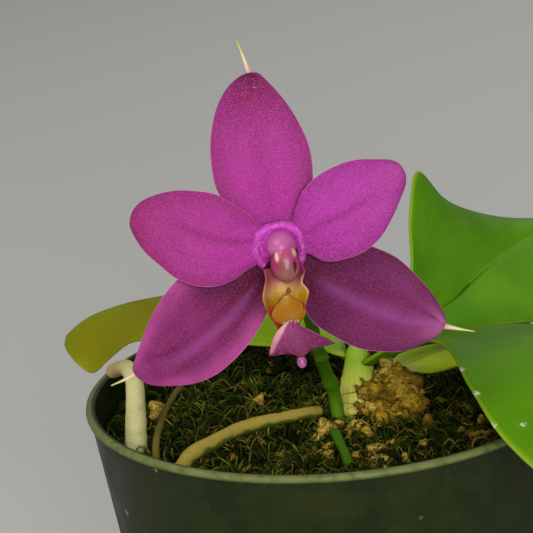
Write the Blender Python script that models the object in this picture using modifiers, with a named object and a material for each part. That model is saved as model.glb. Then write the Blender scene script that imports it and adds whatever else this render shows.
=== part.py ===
"""A small moth orchid in bloom, growing in a round plastic nursery pot.

All named sizes are in millimetres and are turned into metres when a mesh is made.
The origin is the middle of the pot's flat base, Z is up and -Y is the side that the flower faces.
"""

import math
import random

import bmesh
import bpy
import numpy as np
from mathutils import Vector

MM = 0.001
GAP = 0.3                     # clearance kept between pieces that touch

# Pot
POT_HEIGHT = 92.0
RIM_RADIUS = 54.0
RIM_WIDTH = 2.1
RIM_DROP = 1.6
WALL_TOP_RADIUS = 53.2
BASE_RADIUS = 40.6
WALL = 1.1
FLOOR = 1.6
DRAIN_HOLES = 8
DRAIN_RADIUS = 4.0
DRAIN_CIRCLE = 31.0
TURNS_SEGMENTS = 60

# Filling
MIX_TOP = POT_HEIGHT - 14.0
MOSS_MEAN = POT_HEIGHT - 7.5
MOSS_RADIUS = 50.9
MOSS_TAPER = 0.9
MOSS_RINGS = 10
MOSS_SEGMENTS = 44
MOUND_AT = (11.6, -9.8, POT_HEIGHT - 2.8)
MOUND_SIZE = (5.5, 4.6, 8.2)
MOUND_CRUMBS = 20
CRUMBS = 18
SHOOTS = 22
SEEN_CRUMBS = [                # large crumbs in front of the stem: place across, place back, size
    (-4.3, -16.4, 1.5), (-2.6, -14.0, 1.7), (-0.2, -14.6, 1.2), (3.4, -16.4, 1.3), (5.0, -18.6, 1.8),
    (10.3, -20.8, 1.3), (7.3, -25.3, 1.5), (9.0, -31.4, 1.3), (6.2, -33.0, 1.1), (8.6, -37.0, 1.4),
    (-2.9, -37.9, 1.1), (-39.0, 4.6, 1.6), (-16.6, 6.9, 1.3), (-6.4, 4.9, 1.4)]

# Plant
STEM_AT = (5.5, -4.0)
STEM_FOOT = POT_HEIGHT - 22.0
LEAF_THICKNESS = 1.5
LEAF_ARCH = 0.10               # rise of each half between rib and margin, as a share of its width
LEAF_GRID = (8, 16)
TUBE_POINTS = 18

# Flower: its hub in space and the way it is turned
HUB = (-8.6, -58.0, POT_HEIGHT + 49.3)
FLOWER_PITCH = math.radians(17.6)
FLOWER_ROLL = math.radians(3.9)
TEPAL_THICKNESS = 0.8
TEPAL_GRID = (8, 12)
HUB_RADIUS = 2.2
HORN_RADIUS = (1.0, 0.16)

RIM = POT_HEIGHT


def above_rim(points):
    """Points whose heights were measured from the rim's plane, lifted to the pot's own heights."""
    return [(x, y, z + RIM) for x, y, z in points]


# Each leaf is held by three lines from its base to its tip: left margin, midrib and right margin,
# with left and right as seen from the stem looking outward.
LEAVES = {
    "leaf_front_right": {
        "left": [(7.8, -1.8, 5.2), (14, -3.8, 8.0), (24, -6.8, 11.2), (43, -10.5, 12.6), (62, -15, 12),
                 (82, -24, 8), (99, -40, 0), (107, -58, -8), (108, -70, -13)],
        "mid": [(7.6, -5.4, 5.6), (18, -12.5, 11.5), (35, -28, 16.5), (55, -43, 16), (76, -58, 9),
                (94, -70, 0), (108, -75, -14.5)],
        "right": [(6.4, -7.6, 6.4), (13.5, -14, 12.4), (22, -28, 16.5), (26, -47, 13), (30.5, -59, 7),
                  (36, -67, 2.5), (46, -76, -3), (62, -85, -8), (84, -88, -12), (99, -85, -14),
                  (106, -79, -15)],
        "colour": (0.16, 0.42, 0.03, 1.0),
    },
    "leaf_back_right": {
        "left": [(5.4, -0.6, 8.8), (12.5, 3, 12.5), (18, 4, 20), (19.5, 9, 33), (22, 16, 41), (27, 24, 33),
                 (35, 40, 23.5), (50, 60, 13.5), (65, 76, 9), (80, 88, 4), (92, 92, -2)],
        "mid": [(7.2, -2.4, 8.2), (18, 5, 9.8), (26, 12, 11), (37, 28, 14), (50, 45, 15),
                (68, 64, 12.5), (84, 80, 6), (96, 90, -2.5)],
        "right": [(8.4, -3.8, 8.4), (16, 1.4, 9.2), (26, 5.0, 7.8), (38, 12, 5.4), (48, 20, 2.8), (66, 35, 0.6),
                  (84, 56, -2.0), (95, 74, -3.4), (97.5, 86, -4.0)],
        "colour": (0.17, 0.45, 0.04, 1.0),
    },
    "leaf_back_left": {
        "left": [(3.8, -9.0, 2), (1.2, -6.5, 4), (-1, 0, 5.2), (-4, 7, 5.4), (-11, 13, 4.6),
                 (-23, 21, 3.6), (-36, 27.5, 3.2), (-45, 30, 2.7), (-50, 30.3, -0.8), (-54, 31, -3.9),
                 (-57.5, 34.5, -2.6), (-60, 40, -1)],
        "mid": [(0.6, -3.5, 2.5), (-2, 9, 6), (-9, 21, 7), (-20, 30, 7.5), (-32, 37, 6.5),
                (-44, 42, 5.5), (-54, 44, 3), (-60.6, 43.5, -1)],
        "right": [(3.5, 1.6, 4), (2, 14, 9), (-4, 27, 10), (-13, 36, 10), (-24, 43, 9.2), (-36, 46.5, 7.8),
                  (-47, 48, 6), (-55, 47.5, 3.6), (-60, 46, 0.6)],
        "colour": (0.30, 0.38, 0.03, 1.0),
    },
    "leaf_low_right": {
        "left": [(8.8, 0.3, -0.5), (15, 8, 2), (24, 14, 3), (34, 16, 2), (41, 13, 0.6)],
        "mid": [(10.0, -2, -1), (18, 4, 1.2), (28, 8, 2.4), (37, 10, 1.6), (43.5, 10, 0.4)],
        "right": [(10.5, -4, -1), (16.5, -2.0, 1.8), (21, -1.6, 0.8), (27, -0.3, 1.0), (36, 3, 1.0),
                  (42.5, 7, 0.6)],
        "colour": (0.26, 0.36, 0.03, 1.0),
    },
}

# Sepals and petals: the way each points in the flower's plane, its depth in front of the hub, and its
# outline as (distance out from the centre, left edge, right edge) measured across that direction.
TEPALS = {
    "sepal_dorsal": {
        "angle": 90.0, "depth": -1.4, "bend": (0.0, 1.2, 1.6), "cup": -0.7,
        "edges": [(2.6, 3.9, -3.5), (7, 7.6, -5.6), (12.5, 10.9, -7.6), (18.5, 11.3, -7.8),
                  (24.5, 10.2, -6.1), (29.5, 8.0, -3.6), (32.6, 5.2, -1.4), (34.1, 2.6, -0.2)],
        "horn": (1.6, 6.8),
    },
    "sepal_left": {
        "angle": 212.6, "depth": -1.4, "bend": (0.0, 0.8, -1.2), "cup": -0.8,
        "edges": [(2.6, 3.2, -3.2), (6.5, 4.9, -5.2), (11, 7.3, -7.6), (16, 9.0, -8.8),
                  (21, 9.7, -8.9), (26, 9.5, -7.7), (30.5, 7.8, -5.8), (34.4, 4.9, -3.7),
                  (36.6, 2.6, -2.4), (37.6, 0.3, -1.5)],
        "horn": (-1.7, 5.0),
    },
    "sepal_right": {
        "angle": -32.6, "depth": -1.4, "bend": (0.0, 0.8, -1.2), "cup": -0.8,
        "edges": [(2.6, 3.2, -3.4), (6.5, 4.6, -7.3), (10.5, 6.4, -10.7), (16, 7.1, -11.8),
                  (20.4, 7.0, -12.0), (25, 5.5, -10.8), (29, 3.7, -8.9), (31.8, 1.9, -6.2),
                  (33.5, 0.6, -4.3), (34.3, -0.6, -2.6)],
        "horn": (1.6, 5.9),
    },
    "petal_left": {
        "angle": 159.4, "depth": 1.8, "bend": (0.0, 0.9, -0.6), "cup": -1.0,
        "edges": [(3.2, 3.2, -2.4), (5.7, 5.3, -3.7), (8.4, 8.1, -5.1), (11.7, 10.0, -6.4),
                  (15.2, 10.5, -7.4), (18.9, 9.9, -7.2), (22.5, 8.1, -6.5), (26.0, 6.0, -5.0),
                  (28.6, 3.4, -3.0), (29.9, 1.5, -0.8)],
    },
    "petal_right": {
        "angle": 20.6, "depth": 1.8, "bend": (0.0, 0.9, -0.6), "cup": -1.0,
        "edges": [(3.2, 3.0, -3.0), (5.4, 5.2, -6.0), (8.6, 7.7, -7.5), (12.4, 8.8, -8.2),
                  (16.4, 8.7, -7.6), (20.0, 7.9, -5.7), (23.6, 6.0, -3.1), (26.2, 4.3, -0.8),
                  (27.2, 2.8, 1.0)],
    },
}

# Roots and stalks: the line that each follows, with its radius at both ends of the line.
ROOTS = {
    "root_arched_white": {
        "line": [(-43.2, -10.6, -12), (-43.3, -11.4, -6.4), (-42.9, -11.3, -0.4), (-42.5, -10.3, 4.6),
                 (-42.6, -7.6, 7.6), (-43.8, -3.0, 8.2), (-45.9, 1.6, 6.9), (-47.8, 5.4, 5.0)],
        "radius": (2.55, 2.1), "colour": (0.72, 0.70, 0.52, 1.0),
    },
    "root_long": {
        "line": [(-3.6, -8.6, -3.4), (-6.5, -11.0, -2.5), (-11, -13.0, -2.3), (-16, -14.6, -2.3),
                 (-21, -16.6, -2.6), (-26.3, -21.0, -3.2), (-32.1, -25.8, -4.6), (-35.5, -28.6, -9)],
        "radius": (1.9, 1.6), "colour": (0.45, 0.40, 0.18, 1.0),
    },
    "root_green": {
        "line": [(-1.8, -15.8, -8), (-1.2, -19.7, -4.2), (-0.3, -26.4, -4.0), (0.9, -33.5, -5.6),
                 (1.4, -37, -9.5)],
        "radius": (1.6, 1.4), "colour": (0.20, 0.34, 0.08, 1.0),
    },
    "root_dry_thin": {
        "line": [(-39.2, -22.5, -9), (-38.9, -19.6, -4.4), (-38.1, -9.3, -3.2), (-36.0, 3.7, -2.8),
                 (-33.4, 13.1, -3.4), (-31, 18, -8.5)],
        "radius": (0.8, 0.65), "colour": (0.30, 0.24, 0.10, 1.0),
    },
}

SPIKE_LINE = [(0.4, -9.4, -13), (0.2, -8.8, -5), (-0.2, -8.6, 0), (-1.6, -10.8, 6), (-3, -15, 12.5),
              (-4.2, -20.5, 22), (-5.2, -26.5, 32), (-6.2, -31.5, 40.5), (-7.0, -34.5, 46), (-7.6, -36.5, 49)]
SPIKE_RADIUS = (1.45, 1.25)
SPIKE_POINTS = 26
SPIKE_JOINTS = [0.24, 0.58, 0.90]        # how far along the spike each joint lies
JOINT_SWELLING = 0.35
BRACTS = [(0.27, (-0.5, -0.5), 1.15), (0.93, (-0.3, 0.6), 1.0)]   # place on the spike, way out, size
PEDICEL_LINE = [(-8.0, -38.6, 47.6), (-8.3, -44, 49.2), (-8.6, -50, 48.6), (-8.6, -54.6, 48.2)]
PEDICEL_RADIUS = (1.0, 1.35)

MATERIALS = {
    "pot_green": ((0.030, 0.055, 0.032, 1.0), 0.30),
    "mix_brown": ((0.050, 0.032, 0.018, 1.0), 0.95),
    "moss_green": ((0.090, 0.120, 0.025, 1.0), 0.95),
    "moss_dry": ((0.330, 0.210, 0.070, 1.0), 0.95),
    "stem_pale": ((0.520, 0.570, 0.230, 1.0), 0.55),
    "spike_green": ((0.150, 0.330, 0.050, 1.0), 0.50),
    "flower_purple": ((0.400, 0.030, 0.330, 1.0), 0.55),
    "lip_yellow": ((0.750, 0.400, 0.030, 1.0), 0.50),
    "column_pink": ((0.620, 0.180, 0.420, 1.0), 0.50),
    "cap_mauve": ((0.520, 0.260, 0.330, 1.0), 0.50),
}


def clear_scene():
    for obj in list(bpy.data.objects):
        bpy.data.objects.remove(obj, do_unlink=True)


def new_collection(name, hidden=False):
    made = bpy.data.collections.new(name)
    made.hide_render = hidden
    bpy.context.scene.collection.children.link(made)
    return made


def material(name):
    found = bpy.data.materials.get(name)
    if found:
        return found
    colour, roughness = MATERIALS[name]
    found = bpy.data.materials.new(name)
    found.use_nodes = True
    shader = found.node_tree.nodes["Principled BSDF"]
    shader.inputs["Base Color"].default_value = colour
    shader.inputs["Roughness"].default_value = roughness
    shader.inputs["Metallic"].default_value = 0.0
    found.diffuse_color = colour
    return found


def own_material(name, colour, roughness):
    MATERIALS[name] = (colour, roughness)
    return material(name)


def through(points, t):
    """The smooth line through the points, read at t, which runs from 0 to 1 with the distance along."""
    knots = np.array(points, float)
    steps = np.linalg.norm(np.diff(knots, axis=0), axis=1)
    at = np.concatenate([[0.0], np.cumsum(steps)]) / steps.sum()
    slope = np.gradient(knots, at, axis=0)
    t = np.asarray(t, float)
    i = np.clip(np.searchsorted(at, t, side="right") - 1, 0, len(knots) - 2)
    width = (at[i + 1] - at[i])[..., None]
    u = (t[..., None] - at[i][..., None]) / width
    start, end = knots[i], knots[i + 1]
    return ((2 * u**3 - 3 * u**2 + 1) * start + (u**3 - 2 * u**2 + u) * width * slope[i]
            + (3 * u**2 - 2 * u**3) * end + (u**3 - u**2) * width * slope[i + 1])


def mesh_object(name, bm, where, mat=None):
    mesh = bpy.data.meshes.new(name)
    bm.to_mesh(mesh)
    bm.free()
    obj = bpy.data.objects.new(name, mesh)
    where.objects.link(obj)
    if mat:
        mesh.materials.append(mat)
    return obj


def smooth(obj, angle=50):
    obj.data.shade_smooth()
    obj.data.set_sharp_from_angle(angle=math.radians(angle))


def blade(name, surface, thickness, grid, where, mat):
    """A sheet whose middle follows surface(s, t), s from -1 to 1 across and t from 0 to 1 along."""
    bm = bmesh.new()
    bmesh.ops.create_grid(bm, x_segments=grid[0], y_segments=grid[1], size=1.0)
    flat = np.array([v.co[:] for v in bm.verts])
    moved = surface(flat[:, 0], (flat[:, 1] + 1) / 2) * MM
    for vert, co in zip(bm.verts, moved):
        vert.co = Vector(co)
    bmesh.ops.triangulate(bm, faces=bm.faces[:])
    obj = mesh_object(name, bm, where, mat)
    solid = obj.modifiers.new("Solidify", "SOLIDIFY")
    solid.thickness = thickness * MM
    solid.offset = 0.0
    solid.use_quality_normals = True
    made = evaluated_copy(obj, name, where)
    made.data.materials.clear()
    if mat:
        made.data.materials.append(mat)
    return made


def evaluated_copy(obj, name, where):
    """A mesh object of what the modifiers or the curve make, welded, in place of the first object."""
    bpy.context.view_layer.update()
    graph = bpy.context.evaluated_depsgraph_get()
    mesh = bpy.data.meshes.new_from_object(obj.evaluated_get(graph), depsgraph=graph)
    bm = bmesh.new()
    bm.from_mesh(mesh)
    bmesh.ops.remove_doubles(bm, verts=bm.verts[:], dist=1e-6)
    bmesh.ops.recalc_face_normals(bm, faces=bm.faces[:])
    bm.to_mesh(mesh)
    bm.free()
    made = bpy.data.objects.new(name + "_made", mesh)
    made.matrix_world = obj.matrix_world
    bpy.data.objects.remove(obj, do_unlink=True)
    made.name = name
    where.objects.link(made)
    return made


def tube(name, line, radii, where, mat=None, points=16, swell=None, sides=2):
    """A round stalk along a smooth line, with a radius at each of its points."""
    t = np.linspace(0, 1, points)
    path = through(line, t) * MM
    radius = radii[0] + (radii[1] - radii[0]) * t
    if swell is not None:
        radius = radius + swell(t)
    curve = bpy.data.curves.new(name, "CURVE")
    curve.dimensions = "3D"
    curve.bevel_depth = MM
    curve.bevel_resolution = sides
    curve.use_fill_caps = True
    spline = curve.splines.new("POLY")
    spline.points.add(points - 1)
    for point, co, r in zip(spline.points, path, radius):
        point.co = (*co, 1.0)
        point.radius = r
    obj = bpy.data.objects.new(name, curve)
    where.objects.link(obj)
    made = evaluated_copy(obj, name, where)
    if mat:
        made.data.materials.clear()
        made.data.materials.append(mat)
    return made


def join_all(obj, helpers, where):
    """One closed body from the object and its helpers, which are removed."""
    group = bpy.data.collections.new(obj.name + "_helpers")
    bpy.context.scene.collection.children.link(group)
    for helper in helpers:
        for used in list(helper.users_collection):
            used.objects.unlink(helper)
        group.objects.link(helper)
    step = obj.modifiers.new("Union", "BOOLEAN")
    step.operation = "UNION"
    step.operand_type = "COLLECTION"
    step.collection = group
    mat = obj.data.materials[0] if obj.data.materials else None
    made = evaluated_copy(obj, obj.name, where)
    for helper in list(group.objects):
        bpy.data.objects.remove(helper, do_unlink=True)
    bpy.data.collections.remove(group)
    made.data.materials.clear()
    if mat:
        made.data.materials.append(mat)
    return keep_main_body(made)


def keep_main_body(obj):
    """Drops the loose scraps that a cut leaves, and keeps the body with the most faces."""
    bm = bmesh.new()
    bm.from_mesh(obj.data)
    left = set(bm.verts)
    bodies = []
    while left:
        queue = [left.pop()]
        body = set(queue)
        while queue:
            for edge in queue.pop().link_edges:
                for vert in edge.verts:
                    if vert not in body:
                        body.add(vert)
                        queue.append(vert)
        left -= body
        bodies.append(body)
    bodies.sort(key=len, reverse=True)
    for body in bodies[1:]:
        bmesh.ops.delete(bm, geom=list(body), context="VERTS")
    bm.to_mesh(obj.data)
    bm.free()
    return obj


def cut(obj, cutters, where):
    """The object with every cutter taken out of it."""
    for cutter in cutters:
        step = obj.modifiers.new("Cut", "BOOLEAN")
        step.operation = "DIFFERENCE"
        step.object = cutter
    mat = obj.data.materials[0]
    made = evaluated_copy(obj, obj.name, where)
    made.data.materials.clear()
    made.data.materials.append(mat)
    return keep_main_body(made)


def turned(name, profile, segments, where, mat, at=(0, 0)):
    """A profile of (radius, height) turned round a vertical axis; it runs down its outer side."""
    bm = bmesh.new()
    verts = [bm.verts.new((r * MM, 0, z * MM)) for r, z in profile]
    for a, b in zip(verts, verts[1:]):
        bm.edges.new((a, b))
    obj = mesh_object(name, bm, where, mat)
    screw = obj.modifiers.new("Screw", "SCREW")
    screw.steps = segments
    screw.render_steps = segments
    screw.use_merge_vertices = True
    screw.merge_threshold = 0.00001
    obj.location = (at[0] * MM, at[1] * MM, 0)
    return obj


def hide_cutter(obj):
    obj.hide_render = True
    obj.display_type = "WIRE"
    return obj


def wall_radius(height):
    """Outer radius of the pot's tapering wall at a height."""
    return BASE_RADIUS + (WALL_TOP_RADIUS - BASE_RADIUS) * height / (POT_HEIGHT - RIM_DROP)


def make_pot(parts, cutters):
    top, inner = POT_HEIGHT, RIM_RADIUS - RIM_WIDTH
    low = top - RIM_DROP
    profile = [
        (0, FLOOR), (wall_radius(FLOOR) - WALL - 1.5, FLOOR), (wall_radius(FLOOR + 1.5) - WALL, FLOOR + 1.5),
        (wall_radius(low) - WALL, low), (inner, top - 0.7), (inner + 0.4, top - 0.15),
        (RIM_RADIUS - 0.9, top), (RIM_RADIUS - 0.25, top - 0.3), (RIM_RADIUS, top - 0.8),
        (RIM_RADIUS - 0.1, low + 0.35), (RIM_RADIUS - 0.4, low), (wall_radius(low - 0.4), low - 0.4),
        (wall_radius(1.2), 1.2), (BASE_RADIUS - 1.2, 0), (0, 0),
    ]
    pot = turned("pot", profile, TURNS_SEGMENTS, parts, material("pot_green"))
    drains = []
    for k in range(DRAIN_HOLES):
        a = math.tau * (k + 0.5) / DRAIN_HOLES
        bm = bmesh.new()
        bmesh.ops.create_cone(bm, cap_ends=True, segments=16, radius1=DRAIN_RADIUS * MM,
                              radius2=DRAIN_RADIUS * MM, depth=4 * FLOOR * MM)
        hole = mesh_object("drain_%d" % k, bm, cutters)
        hole.location = (DRAIN_CIRCLE * MM * math.cos(a), DRAIN_CIRCLE * MM * math.sin(a), FLOOR / 2 * MM)
        drains.append(hide_cutter(hole))
    bpy.context.view_layer.update()
    pot = cut(pot, drains, parts)
    smooth(pot, 35)
    return pot


def make_mix(parts, holes):
    low, high = FLOOR + GAP, MIX_TOP
    edge = wall_radius(high) - WALL - GAP - 0.2
    foot = wall_radius(low + 2) - WALL - GAP - 0.2
    profile = [(0, high), (edge * 0.5, high), (edge - 0.8, high), (edge, high - 0.8),
               (foot, low + 2), (foot - 2, low), (0, low)]
    mix = turned("potting_mix", profile, 44, parts, material("mix_brown"))
    mix = cut(mix, holes, parts)
    smooth(mix, 40)
    return mix


def moss_height(x, y):
    """Height of the mossy surface: a rise round the stem, a dip at the left, and humps of a few mm."""
    r = np.hypot(x - STEM_AT[0], y - STEM_AT[1])
    rise = 2.2 * np.exp(-(r / 15.0) ** 2)
    dip = -2.4 * np.exp(-(((x + 34) / 16.0) ** 2 + ((y + 4) / 22.0) ** 2))
    humps = 0.9 * np.sin(0.31 * x + 1.1) * np.sin(0.27 * y + 0.4)
    knobs = 1.1 * np.sin(0.83 * x + 0.5 * y) * np.sin(0.71 * y - 0.4 * x + 2.0)
    fine = 0.45 * np.sin(1.7 * x - 0.9 * y + 0.6) * np.sin(1.5 * y + 1.1 * x)
    return MOSS_MEAN + rise + dip + humps + knobs + fine


def make_moss_base(name, lift, where, mat):
    """The moss as a cake with a flat underside; lift raises its whole top."""
    bottom = MIX_TOP + GAP
    radii = np.linspace(0, MOSS_RADIUS, MOSS_RINGS + 1)
    profile = [(r, MOSS_MEAN) for r in radii]
    profile += [(MOSS_RADIUS - MOSS_TAPER, bottom), (0, bottom)]
    obj = turned(name, profile, MOSS_SEGMENTS, where, mat)
    obj = evaluated_copy(obj, name, where)
    co = np.empty(len(obj.data.vertices) * 3)
    obj.data.vertices.foreach_get("co", co)
    co = co.reshape(-1, 3) / MM
    top = co[:, 2] > bottom + 1.0
    co[top, 2] = moss_height(co[top, 0], co[top, 1]) + lift
    obj.data.vertices.foreach_set("co", (co * MM).ravel())
    bm = bmesh.new()
    bm.from_mesh(obj.data)
    bmesh.ops.triangulate(bm, faces=bm.faces[:])
    bm.to_mesh(obj.data)
    bm.free()
    return obj


def blob(name, at, size, where, steps=1, rough=0.0, seed=0):
    """A rough lump: a ball stretched to its three sizes, with its points pushed in and out."""
    bm = bmesh.new()
    bmesh.ops.create_icosphere(bm, subdivisions=steps, radius=1.0)
    rng = random.Random(seed)
    for vert in bm.verts:
        k = 1.0 + rough * (rng.random() - 0.5)
        vert.co = Vector([(at[i] + size[i] * vert.co[i] * k) * MM for i in range(3)])
    return mesh_object(name, bm, where)


def shoot(name, at, height, width, lean, where):
    """One short pointed moss shoot."""
    bm = bmesh.new()
    bmesh.ops.create_cone(bm, cap_ends=True, segments=5, radius1=width * MM, radius2=0.12 * width * MM,
                          depth=height * MM)
    for vert in bm.verts:
        up = vert.co.z / (height * MM) + 0.5
        vert.co.x += at[0] * MM + lean[0] * up * MM
        vert.co.y += at[1] * MM + lean[1] * up * MM
        vert.co.z += at[2] * MM
    return mesh_object(name, bm, where)


def clear_of(x, y, taken):
    return all(math.hypot(x - px, y - py) > gap for px, py, gap in taken)


def crumb(x, y, size, seed, cutters):
    """A crumb of old moss, sunk a little into the surface."""
    at = (x, y, float(moss_height(x, y)))
    return blob("bit", at, (size * 1.2, size, size * 0.8), cutters, 1, 0.35, seed)


def make_moss(parts, cutters, holes, taken):
    """The mossy surface with its crumbs and shoots, which keep clear of the places in taken."""
    moss = make_moss_base("moss_carpet", 0.0, parts, material("moss_green"))
    moss.data.materials.clear()
    moss.data.materials.append(material("moss_green"))
    bits = [crumb(x, y, size, 100 + k, cutters) for k, (x, y, size) in enumerate(SEEN_CRUMBS)]
    taken = taken + [(x, y, 4.0) for x, y, _ in SEEN_CRUMBS]
    wanted = len(bits) + CRUMBS + SHOOTS
    rng = random.Random(41)
    while len(bits) < wanted:
        r = (MOSS_RADIUS - 3.5) * math.sqrt(rng.random())
        a = math.tau * rng.random()
        x, y = r * math.cos(a), r * math.sin(a)
        size = rng.uniform(1.0, 2.3)
        if not clear_of(x, y, taken):
            continue
        if len(bits) < wanted - SHOOTS:
            bits.append(crumb(x, y, size, rng.randrange(9999), cutters))
        else:
            lean = (rng.uniform(-1, 1), rng.uniform(-1, 1))
            at = (x, y, float(moss_height(x, y)))
            bits.append(shoot("bit", at, rng.uniform(3.0, 5.0), rng.uniform(0.5, 0.8), lean, cutters))
    moss = join_all(moss, bits, parts)
    moss = cut(moss, holes, parts)
    smooth(moss, 60)
    return moss


def make_mound(parts, cutters, holes):
    """The heap of dry brown moss in front of and beside the stem."""
    heap = blob("moss_mound_dry", MOUND_AT, MOUND_SIZE, parts, 3, 0.22, 7)
    heap.data.materials.append(material("moss_dry"))
    rng = random.Random(12)
    bits = []
    for k in range(MOUND_CRUMBS):
        a, up = math.tau * rng.random(), rng.uniform(0.1, 0.95)
        side = math.sqrt(1 - up * up)
        way = (side * math.cos(a), side * math.sin(a), up)
        at = [MOUND_AT[i] + 0.96 * MOUND_SIZE[i] * way[i] for i in range(3)]
        size = rng.uniform(1.0, 1.7)
        bits.append(blob("bit", at, (size, size, size * 0.9), cutters, 1, 0.3, k))
    heap = join_all(heap, bits, parts)
    floor = hide_cutter(make_moss_base("moss_lifted", GAP, cutters, None))
    heap = cut(heap, [floor] + holes, parts)
    smooth(heap, 60)
    return heap


def stem_profile(extra):
    """The stem's outline, swollen like a bulb at the moss; extra widens it all round."""
    return [(0, RIM + 10.5 + extra), (1.4 + extra, RIM + 10.1 + extra), (2.5 + extra, RIM + 8.0),
            (3.1 + extra, RIM + 5.0), (4.0 + extra, RIM + 1.5), (4.7 + extra, RIM - 2.5),
            (4.5 + extra, RIM - 6.5), (3.8 + extra, RIM - 10.0), (3.0 + extra, STEM_FOOT - extra),
            (0, STEM_FOOT - extra)]


def make_stem(parts):
    stem = turned("stem", stem_profile(0), 24, parts, material("stem_pale"), STEM_AT)
    smooth(stem, 60)
    return stem


def stem_hole(cutters):
    return hide_cutter(turned("stem_hole", stem_profile(GAP), 24, cutters, None, STEM_AT))


def leaf_surface(spec):
    """A sheet from the left margin over the midrib to the right margin, arched a little on each side."""
    left, mid, right = (above_rim(spec[k]) for k in ("left", "mid", "right"))

    def at(s, t):
        rib = through(mid, t)
        side = np.where((s < 0)[:, None], through(left, t), through(right, t))
        width = np.abs(s)[:, None]
        reach = np.linalg.norm(side - rib, axis=1)[:, None]
        arch = np.array([0, 0, LEAF_ARCH]) * width * (1 - width) * reach
        return rib + (side - rib) * width + arch
    return at


def make_leaf(name, parts, holes):
    spec = LEAVES[name]
    mat = own_material(name, spec["colour"], 0.42)
    leaf = blade(name, leaf_surface(spec), LEAF_THICKNESS, LEAF_GRID, parts, mat)
    leaf = cut(leaf, holes, parts)
    smooth(leaf, 50)
    return leaf


def flower_axes():
    """Right, up and forward of the flower: pitched back by FLOWER_PITCH and rolled by FLOWER_ROLL."""
    forward = np.array([0.0, -math.cos(FLOWER_PITCH), math.sin(FLOWER_PITCH)])
    flat = np.array([1.0, 0.0, 0.0])
    up = np.array([0.0, math.sin(FLOWER_PITCH), math.cos(FLOWER_PITCH)])
    right = math.cos(FLOWER_ROLL) * flat + math.sin(FLOWER_ROLL) * up
    return right, np.cross(forward, right), forward


def in_flower(x, y, z):
    """A place given across, up and in front of the flower's hub, as a place in the object."""
    right, up, forward = flower_axes()
    x, y, z = (np.asarray(v, float)[..., None] for v in (x, y, z))
    return np.array(HUB) + x * right + y * up + z * forward


def tepal_point(spec, s, t):
    """A point of a sepal or petal: s from its right edge (-1) to its left edge (1), t outward."""
    out, left, right = through(spec["edges"], t).T
    across = right + (left - right) * (s + 1) / 2
    slope, arch, tip = spec["bend"]
    depth = spec["depth"] + slope * t + arch * np.sin(math.pi * t) + tip * t**5
    depth = depth + spec["cup"] * s**2 * np.sqrt(t)
    a = math.radians(spec["angle"])
    return (out * math.cos(a) - across * math.sin(a), out * math.sin(a) + across * math.cos(a), depth)


def make_tepal(name, parts, cutters):
    spec = TEPALS[name]
    mat = material("flower_purple")
    sheet = blade(name, lambda s, t: in_flower(*tepal_point(spec, s, t)), TEPAL_THICKNESS, TEPAL_GRID,
                  parts, mat)
    if "horn" in spec:
        sheet = join_all(sheet, [make_horn(spec, cutters)], parts)
    smooth(sheet, 50)
    return sheet


def make_horn(spec, cutters):
    """The little pointed keel that stands out behind a sepal's tip."""
    lean, length = spec["horn"]
    a = math.radians(spec["angle"])
    out, left, right = spec["edges"][-1]
    across = (left + right) / 2
    depth = tepal_point(spec, np.array([0.0]), np.array([1.0]))[2][0]
    steps = [(out - 3.2, across - 0.2 * lean, depth - 1.0), (out - 1.2, across, depth - 1.0),
             (out + 0.3 * length, across + 0.35 * lean, depth - 1.1),
             (out + length, across + lean, depth - 0.6)]
    line = [in_flower(o * math.cos(a) - c * math.sin(a), o * math.sin(a) + c * math.cos(a), d)
            for o, c, d in steps]
    return tube("horn", line, HORN_RADIUS, cutters, points=9)


# The lip, measured in the flower's own directions. The trough of the two side lobes goes from its top to
# its foot: (half width, middle, depth of the front edges, depth of the back). The shield that closes it
# low down goes from its point to its foot: (half width, height, depth).
TROUGH = [(3.4, -0.55, 4.6, 2.4), (3.7, -0.8, 5.6, 2.2), (3.4, -0.9, 5.6, 2.2), (3.5, -1.0, 5.9, 2.4),
          (4.1, -1.0, 6.3, 2.8), (2.9, -1.0, 6.2, 3.6), (1.5, -1.0, 5.9, 4.4)]
TROUGH_TOP, TROUGH_LENGTH, TROUGH_WALL = -3.5, 11.8, 0.7
SHIELD = [(0.8, -9.2, 4.7), (1.8, -10.3, 5.0), (2.8, -11.4, 5.3), (3.5, -12.5, 5.5), (3.0, -13.6, 5.5),
          (1.5, -14.5, 5.3)]
SHIELD_MIDDLE, SHIELD_THICKNESS = -1.05, 1.1
CLAW = [(-1.0, -13.4, 4.6), (-0.9, -15.0, 6.0), (-0.7, -16.6, 6.9)]
CLAW_RADIUS = (1.2, 0.9)
KNOB_AT, KNOB_SIZE = (-0.1, -22.0, 7.6), (1.0, 1.25, 1.0)
MIDLOBE_THICKNESS = 0.8


def cup_point(s, t):
    """The lip's two side lobes as one trough, open to the front, from its top (t = 0) to its foot."""
    half, middle, front, back = through(TROUGH, t).T
    deep = back + (front - back) * (1 - np.cos(0.5 * math.pi * s))
    return middle + half * np.sin(0.5 * math.pi * s), TROUGH_TOP - TROUGH_LENGTH * t, deep


def shield_point(s, t):
    """The spade-shaped shield, from its point (t = 0) to its foot, bulging forward in the middle."""
    half, height, depth = through(SHIELD, t).T
    return SHIELD_MIDDLE + half * s, height + 0.3 * s**2, depth + 0.5 - 1.5 * s**2


def midlobe_point(s, t):
    """The arrow-shaped end of the lip, keeled along its middle, with a neck for the knob."""
    neck = 1.2 * np.exp(-(s / 0.22) ** 2) * t**3
    half = 0.9 + 5.4 * t**0.95
    return -0.9 + 0.9 * t + half * s, -14.4 - 5.7 * t - neck, 6.6 + 1.3 * t - 1.6 * np.abs(s) * t


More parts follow.
